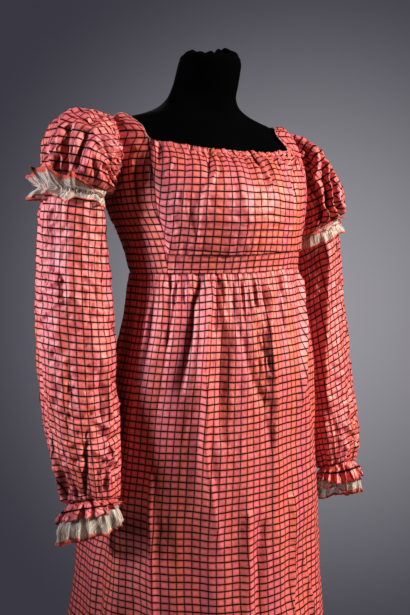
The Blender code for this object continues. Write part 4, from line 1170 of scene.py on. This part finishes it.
# %% The sleeves' folds
SLEEVE_CREASES = {
    "right": laid(
        (6, 0, (-13, 1263, -1.4), (53, 1259, -1.8), (96, 1237, -1)),
        (3, 0, (27, 1259, 2.2), (39, 1246, 1)),
        (3, 0, (79, 1214, 2.2), (69, 1201, 1)),
        (12, 0, (62, 1240, 1.6), (63, 1205, 3.6), (63, 1116, 3.6), (60, 1080, 1)),
        (8, 0.3, (84, 1082, -1.2), (80, 1000, -2)),
        (7, -0.3, (97, 1000, -3), (93, 936, -2)),
        (8, 0, (60, 1078, -1), (55, 1000, -1.8)),
        (5, 0, (90, 1090, 1.2), (86, 1053, 2.2), (91, 1010, 1.6)),
        (20, 0, (162, 1275, -16), (160, 1215, -11), (156, 1160, -2)),
        (6, 0, (138, 1190, 1), (154, 1172, 4.2), (140, 1150, 1.2)),
        (5, 0, (118, 1100, -1), (150, 1080, -3.6)),
        (7, 0, (52, 1032, -1.8), (50, 987, -2.6), (43, 932, -2)),
        (5, 0, (-14, 930, -4), (-17, 890, -9), (-22, 850, -7)),
        (3.6, 0, (6, 930, 3.6), (12, 890, 8), (2, 852, 5.6)),
        (7, 0, (-46, 920, 2), (-46, 860, 4)),
        (4.2, 0, (73, 940, -2.4), (66, 897, -6), (54, 856, -4.4)),
        (2.6, 0, (-13, 855, 2.6), (35, 848, 3.6), (68, 849, 2.2)),
        (3.6, 0, (15, 1169, 2), (44, 1150, 3.4), (13, 1136, 2.8), (46, 1123, 3.4), (5, 1094, 2.4),
         (42, 1077, 1.6)),
        (3.6, 0, (90, 884, 3.6), (117, 912, 5.6), (100, 862, 3.6)),
        (6, 0, (18, 1060, 2.4), (24, 1000, 3), (14, 950, 1.8)),
        (6, 0, (112, 1040, 2), (118, 960, 4)),
        (4, 0.3, (38, 968, -2), (62, 958, -4.6), (88, 972, -2)),
        (4, 0, (84, 958, 2), (108, 944, 4.4), (136, 956, 3)),
        (3.6, 0.3, (92, 936, -2), (116, 928, -4.4), (146, 936, -3)),
        (3.8, 0, (20, 936, 2), (44, 924, 4), (70, 930, 2)),
        (3.4, 0.3, (26, 908, -2), (48, 900, -4.2), (64, 908, -2)),
        (3.6, 0, (76, 916, 2.6), (104, 900, 4.6), (128, 892, 3)),
        (3.6, 0, (118, 1020, -2.4), (140, 1004, -4.4), (160, 1010, -2.4)),
        (4, 0, (124, 986, 1.4), (146, 976, 2.4), (170, 984, 1)),
        (8, 0, (200, 1180, -2), (215, 1080, -4), (205, 980, -2)),
        (7, 0, (270, 1200, 2), (262, 1090, 4), (275, 960, 2.6)),
        (6, 0, (310, 1220, -1.6), (318, 1120, -3.6), (308, 1000, -2)),
    ),
    "left": laid(
        (6, 0, (88, 1196, 2), (92, 1160, 3.6), (104, 1090, 3.6), (114, 1033, 3), (126, 950, 2)),
        (6, 0, (40, 1190, -2), (37, 1160, -2.4), (36, 1090, -1.2)),
        (4, 0, (70, 1150, 2), (58, 1120, 3.4), (66, 1090, 2), (52, 1060, 3)),
        (4.5, 0, (92, 905, 3.6), (70, 890, 6), (96, 870, 4)),
        (4, 0, (40, 930, -3), (60, 915, -5), (84, 925, -3)),
        (3.6, 0, (30, 890, 3), (48, 872, 5), (66, 868, 3)),
        (4.5, 0, (60, 985, -2), (66, 940, -4), (60, 890, -2)),
        (6, 0, (30, 1020, 2), (20, 960, 3.4), (28, 900, 2)),
        (8, 0, (200, 1150, -2), (215, 1060, -4), (205, 960, -2)),
        (7, 0, (270, 1160, 2), (262, 1070, 4), (275, 950, 2.6)),
    ),
}
print("sleeve folds:", {side: len(rows) for side, rows in SLEEVE_CREASES.items()})

# %% [markdown]
# ## Long sleeves
# Each sleeve is one tube with its seam underneath. It is gathered under the arm band at the top and again
# into the wrist. The left one hangs against the body, so its inner side is flat.

# %% Long sleeves
SLEEVE_METRES_PER_PLACE = 0.0009
SLEEVE_FOLDS_TALLER = 1.25
FLAT_FROM = ((0.90, 0.95, 1.05, 1.15, 1.19), (140.0, 130.0, 117.0, 96.0, 90.0))


def flat_side(side, z, place, end=200.0, radius=0.046):
    """The left arm's inner side hangs flat: the chord under an arc from the table's place to the end."""
    start = np.interp(z, *FLAT_FROM) if side == "left" else end - 1.0
    half, off_middle = (end - start) / 2, place - (start + end) / 2
    chord = np.cos(np.radians(half)) / np.cos(np.radians(np.clip(off_middle, -half, half)))
    between = np.clip((z - 0.880) / 0.05, 0, 1) * np.clip((1.235 - z) / 0.04, 0, 1)
    return -radius * (1 - chord) * between * (np.abs(off_middle) < half)


def long_sleeve(side):
    """Rows run from the wrist up to the arm band, columns right round."""
    wrist, band = SLEEVES[side][-1].z, SLEEVES[side][0].z - 2 * SEAM_GAP
    share = np.linspace(0, 1, 156)[:, None]
    z = wrist + (band - wrist) * (0.65 * share + 0.35 * share ** 1.6)
    place = np.linspace(0, 360, 129)[None, :]
    z, place = np.broadcast_arrays(z, place)
    seed = 101 if side == "right" else 121
    along = place / 360
    wraps = 36
    small = crumple(place, z * 600, seed, 10.0, wraps)
    large = rumple_field(place, z * 420, seed + 3, 20.0, wraps // 2)
    low, top = z - wrist, band - z
    pleats = np.abs(np.sin(np.pi * (along * 26 + 0.5 * rumple(place, seed + 4, 10.0, wraps)))) ** 0.7
    tall = 0.6 + 0.4 * rumple(place, seed + 5, 20.0, wraps // 2)
    wide = np.abs(np.sin(np.pi * (along * 11 + 0.4 * rumple(place, seed + 6, 30.0, 12)))) ** 0.8
    relief = (0.0024 * small + 0.0030 * large + 0.0010 * crumple(place, z * 900, seed + 9, 6.0, 60)
              + 0.0034 * pleats * tall * np.exp(-low / 0.016)
              + 0.0042 * wide * np.exp(-low / 0.040) * np.clip(low / 0.006, 0, 1)
              + 0.0026 * pleats * tall * np.exp(-top / 0.014)
              + 0.0034 * wide * np.exp(-top / 0.035))
    laid_folds = creases(place, z, SLEEVE_CREASES[side], SLEEVE_METRES_PER_PLACE, wrap=360)
    relief = relief + SLEEVE_FOLDS_TALLER * laid_folds + flat_side(side, z, place)
    fade = 0.15 * np.clip(top / 0.004, 0, 1) + 0.85 * np.clip(top / 0.030, 0, 1) ** 2
    fade = np.clip(low / 0.004, 0, 1) * fade
    return mirrored(sleeve_point(side, z, place), side), relief * fade


def slack_cut(inner, girth):
    """The sleeve's flat cut. Low down there is more cloth than arm, and its weft hangs in a shallow U."""
    uv = flat_cut(inner, np.full(len(inner), girth))
    top = -uv[..., 1]
    place = np.linspace(0, 360, inner.shape[1])[None, :]
    sag = bell(place, 62, 50) * bell(top, 0.330, 0.085)
    uv[..., 1] = -(0.90 * top + 0.36 * top ** 2) + 0.013 * sag
    return uv


for side in SIDES:
    inner, relief = long_sleeve(side)
    girth = 0.34
    piece = cloth("sleeve_" + side + "_silk", inner, relief, SILK, slack_cut(inner, girth), ring=True,
                  flip=side == "left")
    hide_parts("sleeve_" + side)

# %% [markdown]
# ## The puffs' form
# A puff is a row of rings that lean over from the armhole to the arm band. Each row of the table is the
# ring's top, its underside and half its depth. The two puffs hang unlike each other: the right one stands
# up, and the left one has slid down the arm.

# %% The puffs' form
Lean = namedtuple("Lean", "top_out top_z under_out under_z half_depth")
PUFF_Y = 0.030
BAND_SHARE, BAND_NECK = 0.95, 0.004     # the band ties the puff at this share, over this much length

PUFFS = {
    "right": in_mm(Lean, (
        (170, 1386.5, 168, 1282.5, 40), (182, 1390.5, 169.5, 1280.5, 50), (206, 1390, 170, 1279, 59),
        (230, 1378, 169.5, 1278, 62), (245.5, 1357, 168.5, 1277, 62), (253, 1332, 167, 1276.2, 60),
        (257, 1306, 165, 1275.8, 55), (256.5, 1288, 163, 1275, 49),
    )),
    "left": in_mm(Lean, (
        (170, 1383, 168, 1279, 40), (179.5, 1371, 170, 1268, 50), (198.5, 1354, 171, 1256, 58),
        (220.5, 1334, 170, 1244, 60), (239.5, 1312, 167.5, 1233, 60), (249, 1292, 164, 1223, 58),
        (247, 1268, 160, 1214, 53), (242, 1250, 157, 1208, 47),
    )),
}

# how the silk of each puff stands off its smooth form along the top: share, out, up
PUFF_SHRUG = {
    "right": ((0, 0.1, 0.2, 0.3, 0.4, 0.5, 0.6, 0.7, 0.85, 1),
              (0, 0, 0, 0, 0.001, 0.003, 0.003, 0.001, 0, 0),
              (0, -0.0070, -0.0080, -0.0020, 0.0070, 0.0120, 0.0130, 0.0100, 0.0030, 0)),
    "left": ((0, 0.1, 0.2, 0.3, 0.4, 0.5, 0.6, 0.7, 0.85, 1),
             (0, 0, 0, 0, 0, -0.002, -0.005, -0.008, -0.008, -0.002),
             (0, -0.0010, 0, 0.0020, 0.0050, 0.0060, 0.0050, 0.0020, 0, 0)),
}


def puff_point(side, place, share):
    """Point of a puff: a ring that leans over, held to the armhole at share 0 and to the arm band at 1."""
    table = PUFFS[side]
    shares = np.linspace(0, 1, len(table))
    top_out, top_z, under_out, under_z, half_depth = (
        glide(share, shares, column(table, name)) for name in Lean._fields)
    up, across = (1 + np.cos(np.radians(place))) / 2, np.sin(np.radians(place))
    tilt = SLEEVES[side][0].climb_front * share ** 2
    leaning = np.stack([
        under_out + (top_out - under_out) * up,
        PUFF_Y - half_depth * across,
        under_z + (top_z - under_z) * up + tilt * half_depth * across,
    ], axis=-1)
    root = on_torso(*armhole(place), 0.0002)
    band_rise = BAND_NECK * np.clip((1 - share) / (1 - BAND_SHARE), 0, 1)
    band = sleeve_point(side, SLEEVES[side][0].z, place, down=-band_rise)
    hold = np.clip(1 - share / 0.10, 0, 1)[..., None]
    tie = np.clip((share - 0.85) / (BAND_SHARE - 0.85), 0, 1)[..., None]
    shares, shrug_out, shrug_up = PUFF_SHRUG[side]
    off, rise = (np.interp(share, shares, way) * up for way in (shrug_out, shrug_up))
    shrug = np.stack([off, 0 * up, rise], axis=-1)
    return leaning + (root - leaning) * hold + (band - leaning) * tie + shrug


print("puffs of", len(PUFFS["right"]), "rings")

# %% [markdown]
# ## Puffed oversleeves
# A short full sleeve sits over the long one. It is gathered tightly into the armhole and again into the arm
# band, and the fullness between stands up in rounded lobes with deep pinched folds. The rows of a fold are
# half width, lean, then place, the share of the way to the band in thousandths, and how far it stands out.

# %% Puffs
PUFF_METRES_PER_PLACE, PUFF_LENGTH = 0.00105, 0.115
PUFF_FOLDS_TALLER = 2.5

PUFF_CREASES = {
    "right": laid(
        (3.5, 0, (16, 790, -3.6), (22, 900, -4)),
        (3.5, 0, (36, 800, -3), (36, 900, -3.6)),
        (4.5, 0, (19, 640, 1.2), (30, 840, 3.4)),
        (4.5, 0, (30, 580, 1), (36, 740, 3)),
        (8, 0, (16, 380, 2.2), (32, 620, 3.4)),
        (4, 0, (-12, 600, -1.4), (5, 800, -3.6)),
        (4.5, 0, (42, 550, -1.6), (49, 830, -4)),
        (5, 0, (17, 417, -1), (49, 357, -2.6), (30, 200, -1.8), (15, 80, -1)),
        (5, 0, (45, 518, 1.6), (68, 432, 3.4), (62, 181, 1.8)),
        (4.5, 0, (68, 450, -2), (66, 780, -3.6)),
        (5, 0, (79, 470, 2), (76, 760, 3.6)),
        (5, 0, (82, 714, 1), (105, 560, 3), (128, 412, 1.6)),
    ),
    "left": laid(
        (3.2, 0, (59, 60, -3), (110, 90, -3.4), (126, 392, -4), (114, 850, -4)),
        (3.4, 0, (35, 206, -1), (93, 251, -3.4), (109, 528, -4.4), (92, 870, -4.4)),
        (3.4, 0, (38, 286, -1), (77, 372, -3.4), (93, 648, -4.4), (76, 870, -4)),
        (3.4, 0, (40, 397, -1.2), (66, 503, -3.4), (74, 724, -4.4), (58, 870, -3.6)),
        (4, 0, (50, 130, 1.4), (101, 170, 3), (117, 460, 4), (103, 840, 3.6)),
        (4, 0, (36, 250, 1), (85, 310, 3), (101, 590, 4.2), (84, 860, 3.6)),
        (4, 0, (39, 350, 1), (72, 430, 3), (84, 680, 4.2), (67, 860, 3.6)),
        (5, 0, (18, 450, 1), (30, 650, 3.4), (38, 850, 3)),
        (4, 0, (8, 500, -1), (14, 700, -3.4), (22, 880, -3.4)),
    ),
}


def puffed(side):
    """Rows run from the armhole to the arm band. Pleats |sin|^0.7 are pinched in at both ends, and broader
    lobes |sin|^0.8 swell beside them; both sway with a random curve, and crumples cover the rest."""
    share = np.linspace(0, 1, 100)[:, None]
    place = np.linspace(0, 360, 141)[None, :]
    share, place = np.broadcast_arrays(share, place)
    seed = 131 if side == "right" else 151
    sway = 0.8 * rumple(place, seed, 12.0, 30) + 0.6 * rumple(place, seed + 1, 24.0, 15)
    fine = np.abs(np.sin(np.pi * (place / 360 * 44 + sway))) ** 0.7
    tall = 0.65 + 0.35 * rumple(place, seed + 2, 12.0, 30)
    broad = np.abs(np.sin(np.pi * (place / 360 * 12 + 0.5 * sway + 0.5 * np.sin(5 * share)))) ** 0.8
    band = BAND_SHARE - share
    relief = (0.0050 * fine * tall * (np.exp(-share / 0.13) + np.exp(-np.abs(band) / 0.10))
              + 0.0072 * broad * (bell(share, 0.20, 0.16) + bell(share, 0.74, 0.16))
              + 0.0020 * crumple(place, share * 100, seed + 4, 12.0, 30)
              + 0.0030 * rumple_field(place, share * 90, seed + 6, 24.0, 15)
              - 0.0042 * np.sin(np.pi * share))
    tight = np.exp(-(((place - 92) / 38) ** 2) - (share / 0.42) ** 2) + 0.25 * np.exp(-share / 0.25)
    relief = relief + 0.0046 * tight * crumple(place, share * 100, seed + 9, 7.2, 50)
    laid_folds = creases(place, share, PUFF_CREASES[side], PUFF_METRES_PER_PLACE, PUFF_LENGTH, wrap=360)
    relief = relief + PUFF_FOLDS_TALLER * laid_folds
    fade = np.clip(share / 0.05, 0, 1) * np.clip((BAND_SHARE + 0.005 - share) / 0.13, 0, 1)
    return mirrored(puff_point(side, place, share), side), relief * fade


for side in SIDES:
    inner, relief = puffed(side)
    width = glide(np.linspace(0, 1, len(inner)), (0, 0.3, 0.7, 1), (0.46, 0.50, 0.50, 0.46))
    uv = flat_cut(inner, width) * (1.0, 0.88)
    piece = cloth("puff_" + side + "_silk", inner, relief, SILK, uv, ring=True, flip=side == "right")
    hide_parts("puff_" + side)

# %% [markdown]
# ## How a frill stands
# A strip that is gathered along one line stands out in waves, which grow from nothing at the stitching. The
# tables give, for lines along the strip, how far down it each lies, how far off the arm, and how tall its
# waves are. The waves lean over sideways, as a free edge does, and no two are the same.

# %% How a frill stands
Line = namedtuple("Line", "down off wave")

RUCHE_UP = (Line(0.0, 0.0030, 0.0000), Line(0.28, 0.0042, 0.0016), Line(0.62, 0.0070, 0.0034),
            Line(1.0, 0.0125, 0.0062))
RUCHE_DOWN = (Line(0.0, 0.0030, 0.0000), Line(0.0060, 0.0050, 0.0020), Line(0.0130, 0.0095, 0.0044),
              Line(0.0210, 0.0125, 0.0060))
RUCHE_REACH = 0.15                          # the ruche goes this share of the way up the puff
RUCHE_PRESSED, CUFF_PRESSED = 0.94, 0.40    # how much of a frill is lost between the arm and the body
RUCHE_SPREAD = {"right": 1.0, "left": 0.72}
# how far the two free edges reach round the arm, as a share of the table's last line: place, upper, lower
RUCHE_EDGES = {
    "right": ((-60, 0.72, 0.80), (-20, 0.72, 0.85), (5, 0.78, 0.85), (30, 0.96, 0.45), (42, 1.00, 0.75),
              (54, 0.92, 0.95), (66, 1.02, 0.60), (92, 1.08, 0.52), (108, 0.96, 0.85), (125, 0.80, 1.00),
              (150, 0.60, 0.80), (200, 0.70, 0.70), (260, 0.75, 0.70)),
    "left": ((-60, 1.00, 0.90), (0, 0.90, 0.80), (30, 1.00, 0.95), (60, 0.80, 0.80), (90, 1.00, 1.00),
             (120, 0.85, 0.80), (200, 0.80, 0.70), (260, 0.90, 0.80)),
}
FRILL_CLEAR = CLOTH + 0.0007
CUFF_FRILL = (Line(-0.0080, 0.0040, 0.0), Line(-0.0008, FRILL_CLEAR, 0.0), Line(0.0095, 0.0100, 0.0044),
              Line(0.0225, 0.0165, 0.0060))
CUFF_RUFFLE = (Line(0.0010, 0.0002, 0.0), Line(0.0060, 0.0010, 0.0004), Line(0.0150, 0.0050, 0.0016),
               Line(0.0330, 0.0130, 0.0044), Line(0.0520, 0.0150, 0.0060))


def line_values(table, share):
    """Down, off and wave at a share of the strip, smoothly between its lines."""
    knots = np.linspace(0, 1, len(table))
    return (glide(share, knots, [getattr(line, name) for line in table]) for name in Line._fields)


def frill_wave(place, count, seed):
    """Two sine waves of nearby counts whose phase wanders, and the sideways lean that goes with them."""
    drift = 1.3 * rumple(place, seed, 24.0, 15) + 0.7 * rumple(place, seed + 1, 12.0, 30)
    phase = np.radians(place * count) + drift
    wave = 0.72 * np.sin(phase) + 0.28 * np.sin(np.radians(place * (count + 7)) + 1.7 * drift)
    return wave, np.cos(phase)


def puff_normal(side, place, share):
    """Unit normal of a puff: the cross product of a small step round it and a small step along it."""
    along = puff_point(side, place, share + 0.002) - puff_point(side, place, share - 0.002)
    around = puff_point(side, place + 1.0, share) - puff_point(side, place - 1.0, share)
    normal = np.cross(around, along)
    return normal / np.linalg.norm(normal, axis=-1, keepdims=True)


def facing(place, way, power):
    """1 where the place faces this way round the arm, falling as cos^power to 0 a quarter turn away."""
    return np.clip(np.cos(np.radians(place - way)), 0, 1) ** power


def room(place, lost):
    """1 where a frill stands free, less where it is pressed between the arm and the body."""
    return 1 - lost * np.clip(-np.cos(np.radians(place + 16)), 0, 1) ** 1.1


print("frill tables:", [len(table) for table in (RUCHE_UP, RUCHE_DOWN, CUFF_FRILL, CUFF_RUFFLE)], "lines each")

# %% [markdown]
# ## The ruche's points
# A ruche is a strip of gauze that is gathered along its middle round the arm band. Its lower half lies on the
# sleeve and its upper half on the puff, and both edges stand out in waves of their own.

# %% The ruche's points
def ruche(side):
    """Lower half on the sleeve, upper half on the puff; rows run from the lower edge to the upper one."""
    place = np.linspace(0, 360, 289)[None, :]
    keep = RUCHE_SPREAD[side] * room(place, RUCHE_PRESSED)
    band = SLEEVES[side][0].z
    seed = 171 if side == "right" else 181
    halves = []
    for count, table, upper in ((15, RUCHE_DOWN, False), (13, RUCHE_UP, True)):
        share = np.linspace(0, 1, 18)[:, None]
        down, off, wave = line_values(table, share if upper else share[::-1])
        swing, lean = frill_wave(place, count, seed + upper)
        front = facing(place, 72, 2)
        uneven = 0.11 * rumple(place, seed + 7 + upper, 15.0, 24)
        outer = facing(place, -12, 2)
        places, *edges = zip(*RUCHE_EDGES[side])
        reach = np.interp(place, places, edges[0 if upper else 1], period=360)
        down = down * (reach + uneven + 0.05 * swing)
        off = off * (1 - 0.25 * front + 0.45 * outer + uneven)
        wave = wave * (1.0 + 0.25 * outer)
        at_edge = share if upper else share[::-1]
        pinch = 0.0012 * np.sin(np.radians(place * 62) + 3 * swing) * (1 - 0.6 * at_edge)
        pinch = pinch + 0.0016 * rumple_field(place, at_edge * 40, seed + 17 + upper, 7.5, 48) * at_edge
        out = FRILL_CLEAR + (off + wave * swing) * keep + pinch * keep
        if upper:
            along = 1 - down * (1 - BAND_SHARE + (RUCHE_REACH + BAND_SHARE - 1) * keep ** 2)
            out = out + 0.0018 * (1 - along) / RUCHE_REACH + 0.0040 * front * share
            at = place + 3.0 * lean * share * keep
            at, along = np.broadcast_arrays(at, along)
            halves.append((puff_point(side, at, along) + puff_normal(side, at, along) * out[..., None])[1:])
        else:
            at, level = np.broadcast_arrays(place + 3.0 * lean * share[::-1] * keep, band - down)
            halves.append(sleeve_point(side, level, at, out))
    points = mirrored(np.concatenate(halves), side)
    points[:, -1] = points[:, 0]
    return points


print("a ruche's grid", ruche("right").shape[:2])

# %% [markdown]
# ## The cuff's points
# At the wrist there are two frills: a short one of the silk, and under it a longer ruffle of gauze. The silk
# one is uneven: on the right arm it is shorter near the body and longer in front.

# %% The cuff's points
def frill(side, table, count, seed, columns, rows):
    """A strip gathered at its top: rows run from the free edge up to the stitching."""
    share = np.linspace(1, 0, rows)[:, None]
    place = np.linspace(0, 360, columns)[None, :]
    keep = room(place, CUFF_PRESSED)
    down, off, wave = line_values(table, share)
    inner_side = facing(place, 180, 1.2)
    uneven = 0.07 * rumple(place, seed + 9, 24.0, 15) + 0.05 * rumple(place, seed + 10, 8.0, 45)
    down = down * (1 - 0.40 * inner_side * share + uneven * share)
    swing, lean = frill_wave(place, count, seed)
    if table is CUFF_FRILL:
        short = bell(place, 138, 36) if side == "right" else np.zeros_like(place)
        middle, more = (60, 0.25) if side == "right" else (112, 0.85)
        long = more * bell(place, middle, 55)
        down = down * (1 + (long - 0.75 * short + 0.10 * swing) * share)
        off = off * (1 + 0.6 * long * share)
    held = np.minimum(off, FRILL_CLEAR)
    bulge = 0.0030 * rumple_field(place, share * 60, seed + 15, 9.0, 40) * np.clip(share / 0.3, 0, 1)
    out = held + (off - held + wave * swing + bulge) * keep
    wrist = SLEEVES[side][-1].z
    level = np.maximum(wrist, wrist - down)
    at = place + 3.5 * lean * share ** 1.5 * keep
    at, level, out, drop = np.broadcast_arrays(at, level, out, down - (wrist - level))
    points = mirrored(sleeve_point(side, level, at, out, drop), side)
    points[:, -1] = points[:, 0]
    return points


print("a cuff's grid", frill("right", CUFF_FRILL, 21, 191, 289, 22).shape[:2])

# %% [markdown]
# ## Ruches and cuff frills
# All six strips are cut straight, so their check and their bindings follow the strip. Solidify gives them
# their wall outwards, as the points are those of the inner face.

# %% Frills
def gauze_piece(name, points, width, length, finish, flip, wall=0.0004):
    """A strip cut to this width and length. v follows the rows, so a binding keeps to the strip's edge."""
    uv = flat_cut(points, np.full(len(points), width))
    uv[..., 1] = np.linspace(-length, 0, len(points))[:, None]
    piece = skin(name, points, uv, True, flip)
    piece.data.materials.append(finish)
    solid = piece.modifiers.new("wall", "SOLIDIFY")
    solid.thickness, solid.offset = wall, 1.0
    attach(piece, "root")
    print(name, "grid", points.shape[:2])
    return piece


for side in SIDES:
    flip = side == "left"
    strip = gauze_piece("ruche_" + side + "_gauze", ruche(side), 0.62, 0.042, RUCHE_GAUZE, flip)
    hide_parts("ruche_" + side)
    seed = 191 if side == "right" else 201
    points = frill(side, CUFF_FRILL, count=21, seed=seed, columns=289, rows=22)
    short = gauze_piece("cuff_frill_" + side + "_silk", points, 0.46, 0.030, SILK, flip)
    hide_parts("cuff_frill_" + side)
    points = frill(side, CUFF_RUFFLE, count=18, seed=seed + 5, columns=289, rows=34)
    ruffle = gauze_piece("cuff_ruffle_" + side + "_gauze", points, 0.55, 0.053, CUFF_GAUZE, flip)
    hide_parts("cuff_ruffle_" + side)

# %% [markdown]
# ## The dress form
# The form is a padded torso without limbs. A cover of black jersey is stretched over it and gathered on top
# of the neck, where the spare cloth stands up in soft tufts. Its hips are under the skirt and have a table
# of their own; above them it is the bodice's inner face, moved in a little.

# %% The dress form
FORM_GAP, REST_GAP = 0.0034, 0.0007     # from the bodice's inner face to the jersey, and above the shoulders

HIPS = in_mm(Section, (
    (800, 140, -74, 118, 20), (808, 150, -85, 130, 20), (850, 156, -90, 138, 18),
    (900, 152, -92, 132, 12), (960, 140, -88, 112, 6), (1020, 122, -80, 92, 2),
    (1080, 119.5, -84, 84, 2), (1130, 124, -94, 89, 1),
))


def form_cover():
    """Rings from the bottom up: the hips' table, then the bodice's inner face moved in. Both ends shrink to
    a point, and the top ring's cloth is gathered."""
    turn = np.linspace(0, 360, 121)[None, :]
    low = section_point(HIPS, turn, np.linspace(0.800, 1.130, 26)[:, None])
    z = np.concatenate([np.linspace(1.145, 1.47, 64), np.linspace(1.474, 1.489, 8)])[:, None]
    inward = -np.interp(z, (1.378, 1.394), (FORM_GAP, REST_GAP))
    high = on_torso(turn, z, inward)
    tuck = 0.0060 * np.abs(np.sin(np.radians(turn * 7) + 0.8 * np.sin(np.radians(turn * 2))))
    tall = 1 + 0.6 * np.sin(np.radians(turn * 3 + 40))
    rise = np.clip((z - 1.462) / 0.025, 0, 1)
    high = high + np.stack([np.zeros_like(turn), np.zeros_like(turn), np.ones_like(turn)], -1) * (
        (tuck * tall - 0.003) * rise)[..., None]
    shrink = np.array([0.75, 0.45, 0.15])[:, None, None]
    middle = high[-1].mean(axis=0)
    crown = middle + (high[-1] - middle) * shrink + np.array([0, 0, -0.004]) * (1 - shrink)
    foot_middle = low[0].mean(axis=0)
    sole = foot_middle + (low[0] - foot_middle) * shrink[::-1]
    tips = [np.broadcast_to(p, (1, turn.shape[1], 3)) for p in (foot_middle, middle + np.array([0, 0, -0.004]))]
    return np.concatenate([tips[0], sole, low, high, crown, tips[1]])


def closed_skin(name, points, finish):
    """A ring surface whose first and last rows are single points: doubles are merged and normals set."""
    piece = skin(name, points, np.zeros(points.shape[:2] + (2,)), True)
    shape = bmesh.new()
    shape.from_mesh(piece.data)
    bmesh.ops.remove_doubles(shape, verts=shape.verts, dist=1e-5)
    bmesh.ops.recalc_face_normals(shape, faces=shape.faces[:])
    shape.to_mesh(piece.data)
    shape.free()
    piece.data.materials.append(finish)
    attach(piece, "root")
    return piece


cover = closed_skin("form_torso_jersey", form_cover(), JERSEY)
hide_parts("form_torso")
print("form:", len(cover.data.polygons), "faces")

# %% [markdown]
# ## The stand
# A steel pole and a round foot stand under the form. Both are turned shapes: a profile of radius and height
# that goes right round the middle axis.

# %% The stand
def lathe(name, profile, columns, finish):
    """A profile of (radius, z), turned right round the middle axis."""
    turn = np.radians(np.linspace(0, 360, columns))[None, :]
    radius, z = (np.array(profile, float)[:, k][:, None] for k in (0, 1))
    points = np.stack(np.broadcast_arrays(radius * np.sin(turn), -radius * np.cos(turn), z), axis=-1)
    return closed_skin(name, points, finish)


FOOT_PROFILE = ((0, 0), (0.160, 0), (0.164, 0.0015), (0.165, 0.0040), (0.165, 0.0120), (0.1640, 0.0150),
                (0.1615, 0.0172), (0.159, 0.018), (0.060, 0.018), (0, 0.018))
POLE_PROFILE = ((0, 0.0183), (0.0150, 0.0183), (0.0150, 0.400), (0.0150, 0.7997), (0, 0.7997))
foot = lathe("stand_foot_metal", FOOT_PROFILE, 97, METAL)
pole = lathe("stand_pole_metal", POLE_PROFILE, 49, METAL)
for piece, node in ((foot, "stand_foot"), (pole, "stand_pole")):
    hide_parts(node)
print("stand:", [len(p.data.polygons) for p in (foot, pole)], "faces")

# %% [markdown]
# ## The neckline's piping
# A thin cord covered in pale silk is sewn in along the neckline: over the bib and up the two straps. It is a
# small circle carried along the neckline's own curve, and it dies out to a point at both of its ends.

# %% Piping
def piping(ends, radius, around=10):
    """A tube along the neckline between plus and minus ends: radius times cos and sin along its normals."""
    turn = np.linspace(-ends, ends, 301)
    path = on_torso(turn, neckline_z(turn) + 0.0002, CLOTH)
    path = path + outward(turn, neckline_z(turn)) * (0.0005 * np.abs(np.sin(np.radians(turn * 34))))[:, None]
    run = np.gradient(path, axis=0)
    run = run / np.linalg.norm(run, axis=1, keepdims=True)
    out = outward(turn, neckline_z(turn))
    up = np.cross(out, run)
    angle = np.radians(np.linspace(0, 360, around + 1))[None, :, None]
    thick = radius * np.sqrt(1 - (turn / ends) ** 16)[:, None, None]
    points = path[:, None] + thick * (np.cos(angle) * out[:, None] + np.sin(angle) * up[:, None])
    points[:, -1] = points[:, 0]
    return points


CORD_SILK = spotted("pale_silk_cord", 420.0, 2.0, 0.35, 0.65, (0.42, 0.16, 0.14, 1), (0.72, 0.50, 0.44, 1),
                    Roughness=0.6, Specular_IOR_Level=0.4)[0]
cord = closed_skin("neckline_piping", piping(96.0, 0.0007), CORD_SILK)
print("piping:", len(cord.data.polygons), "faces")
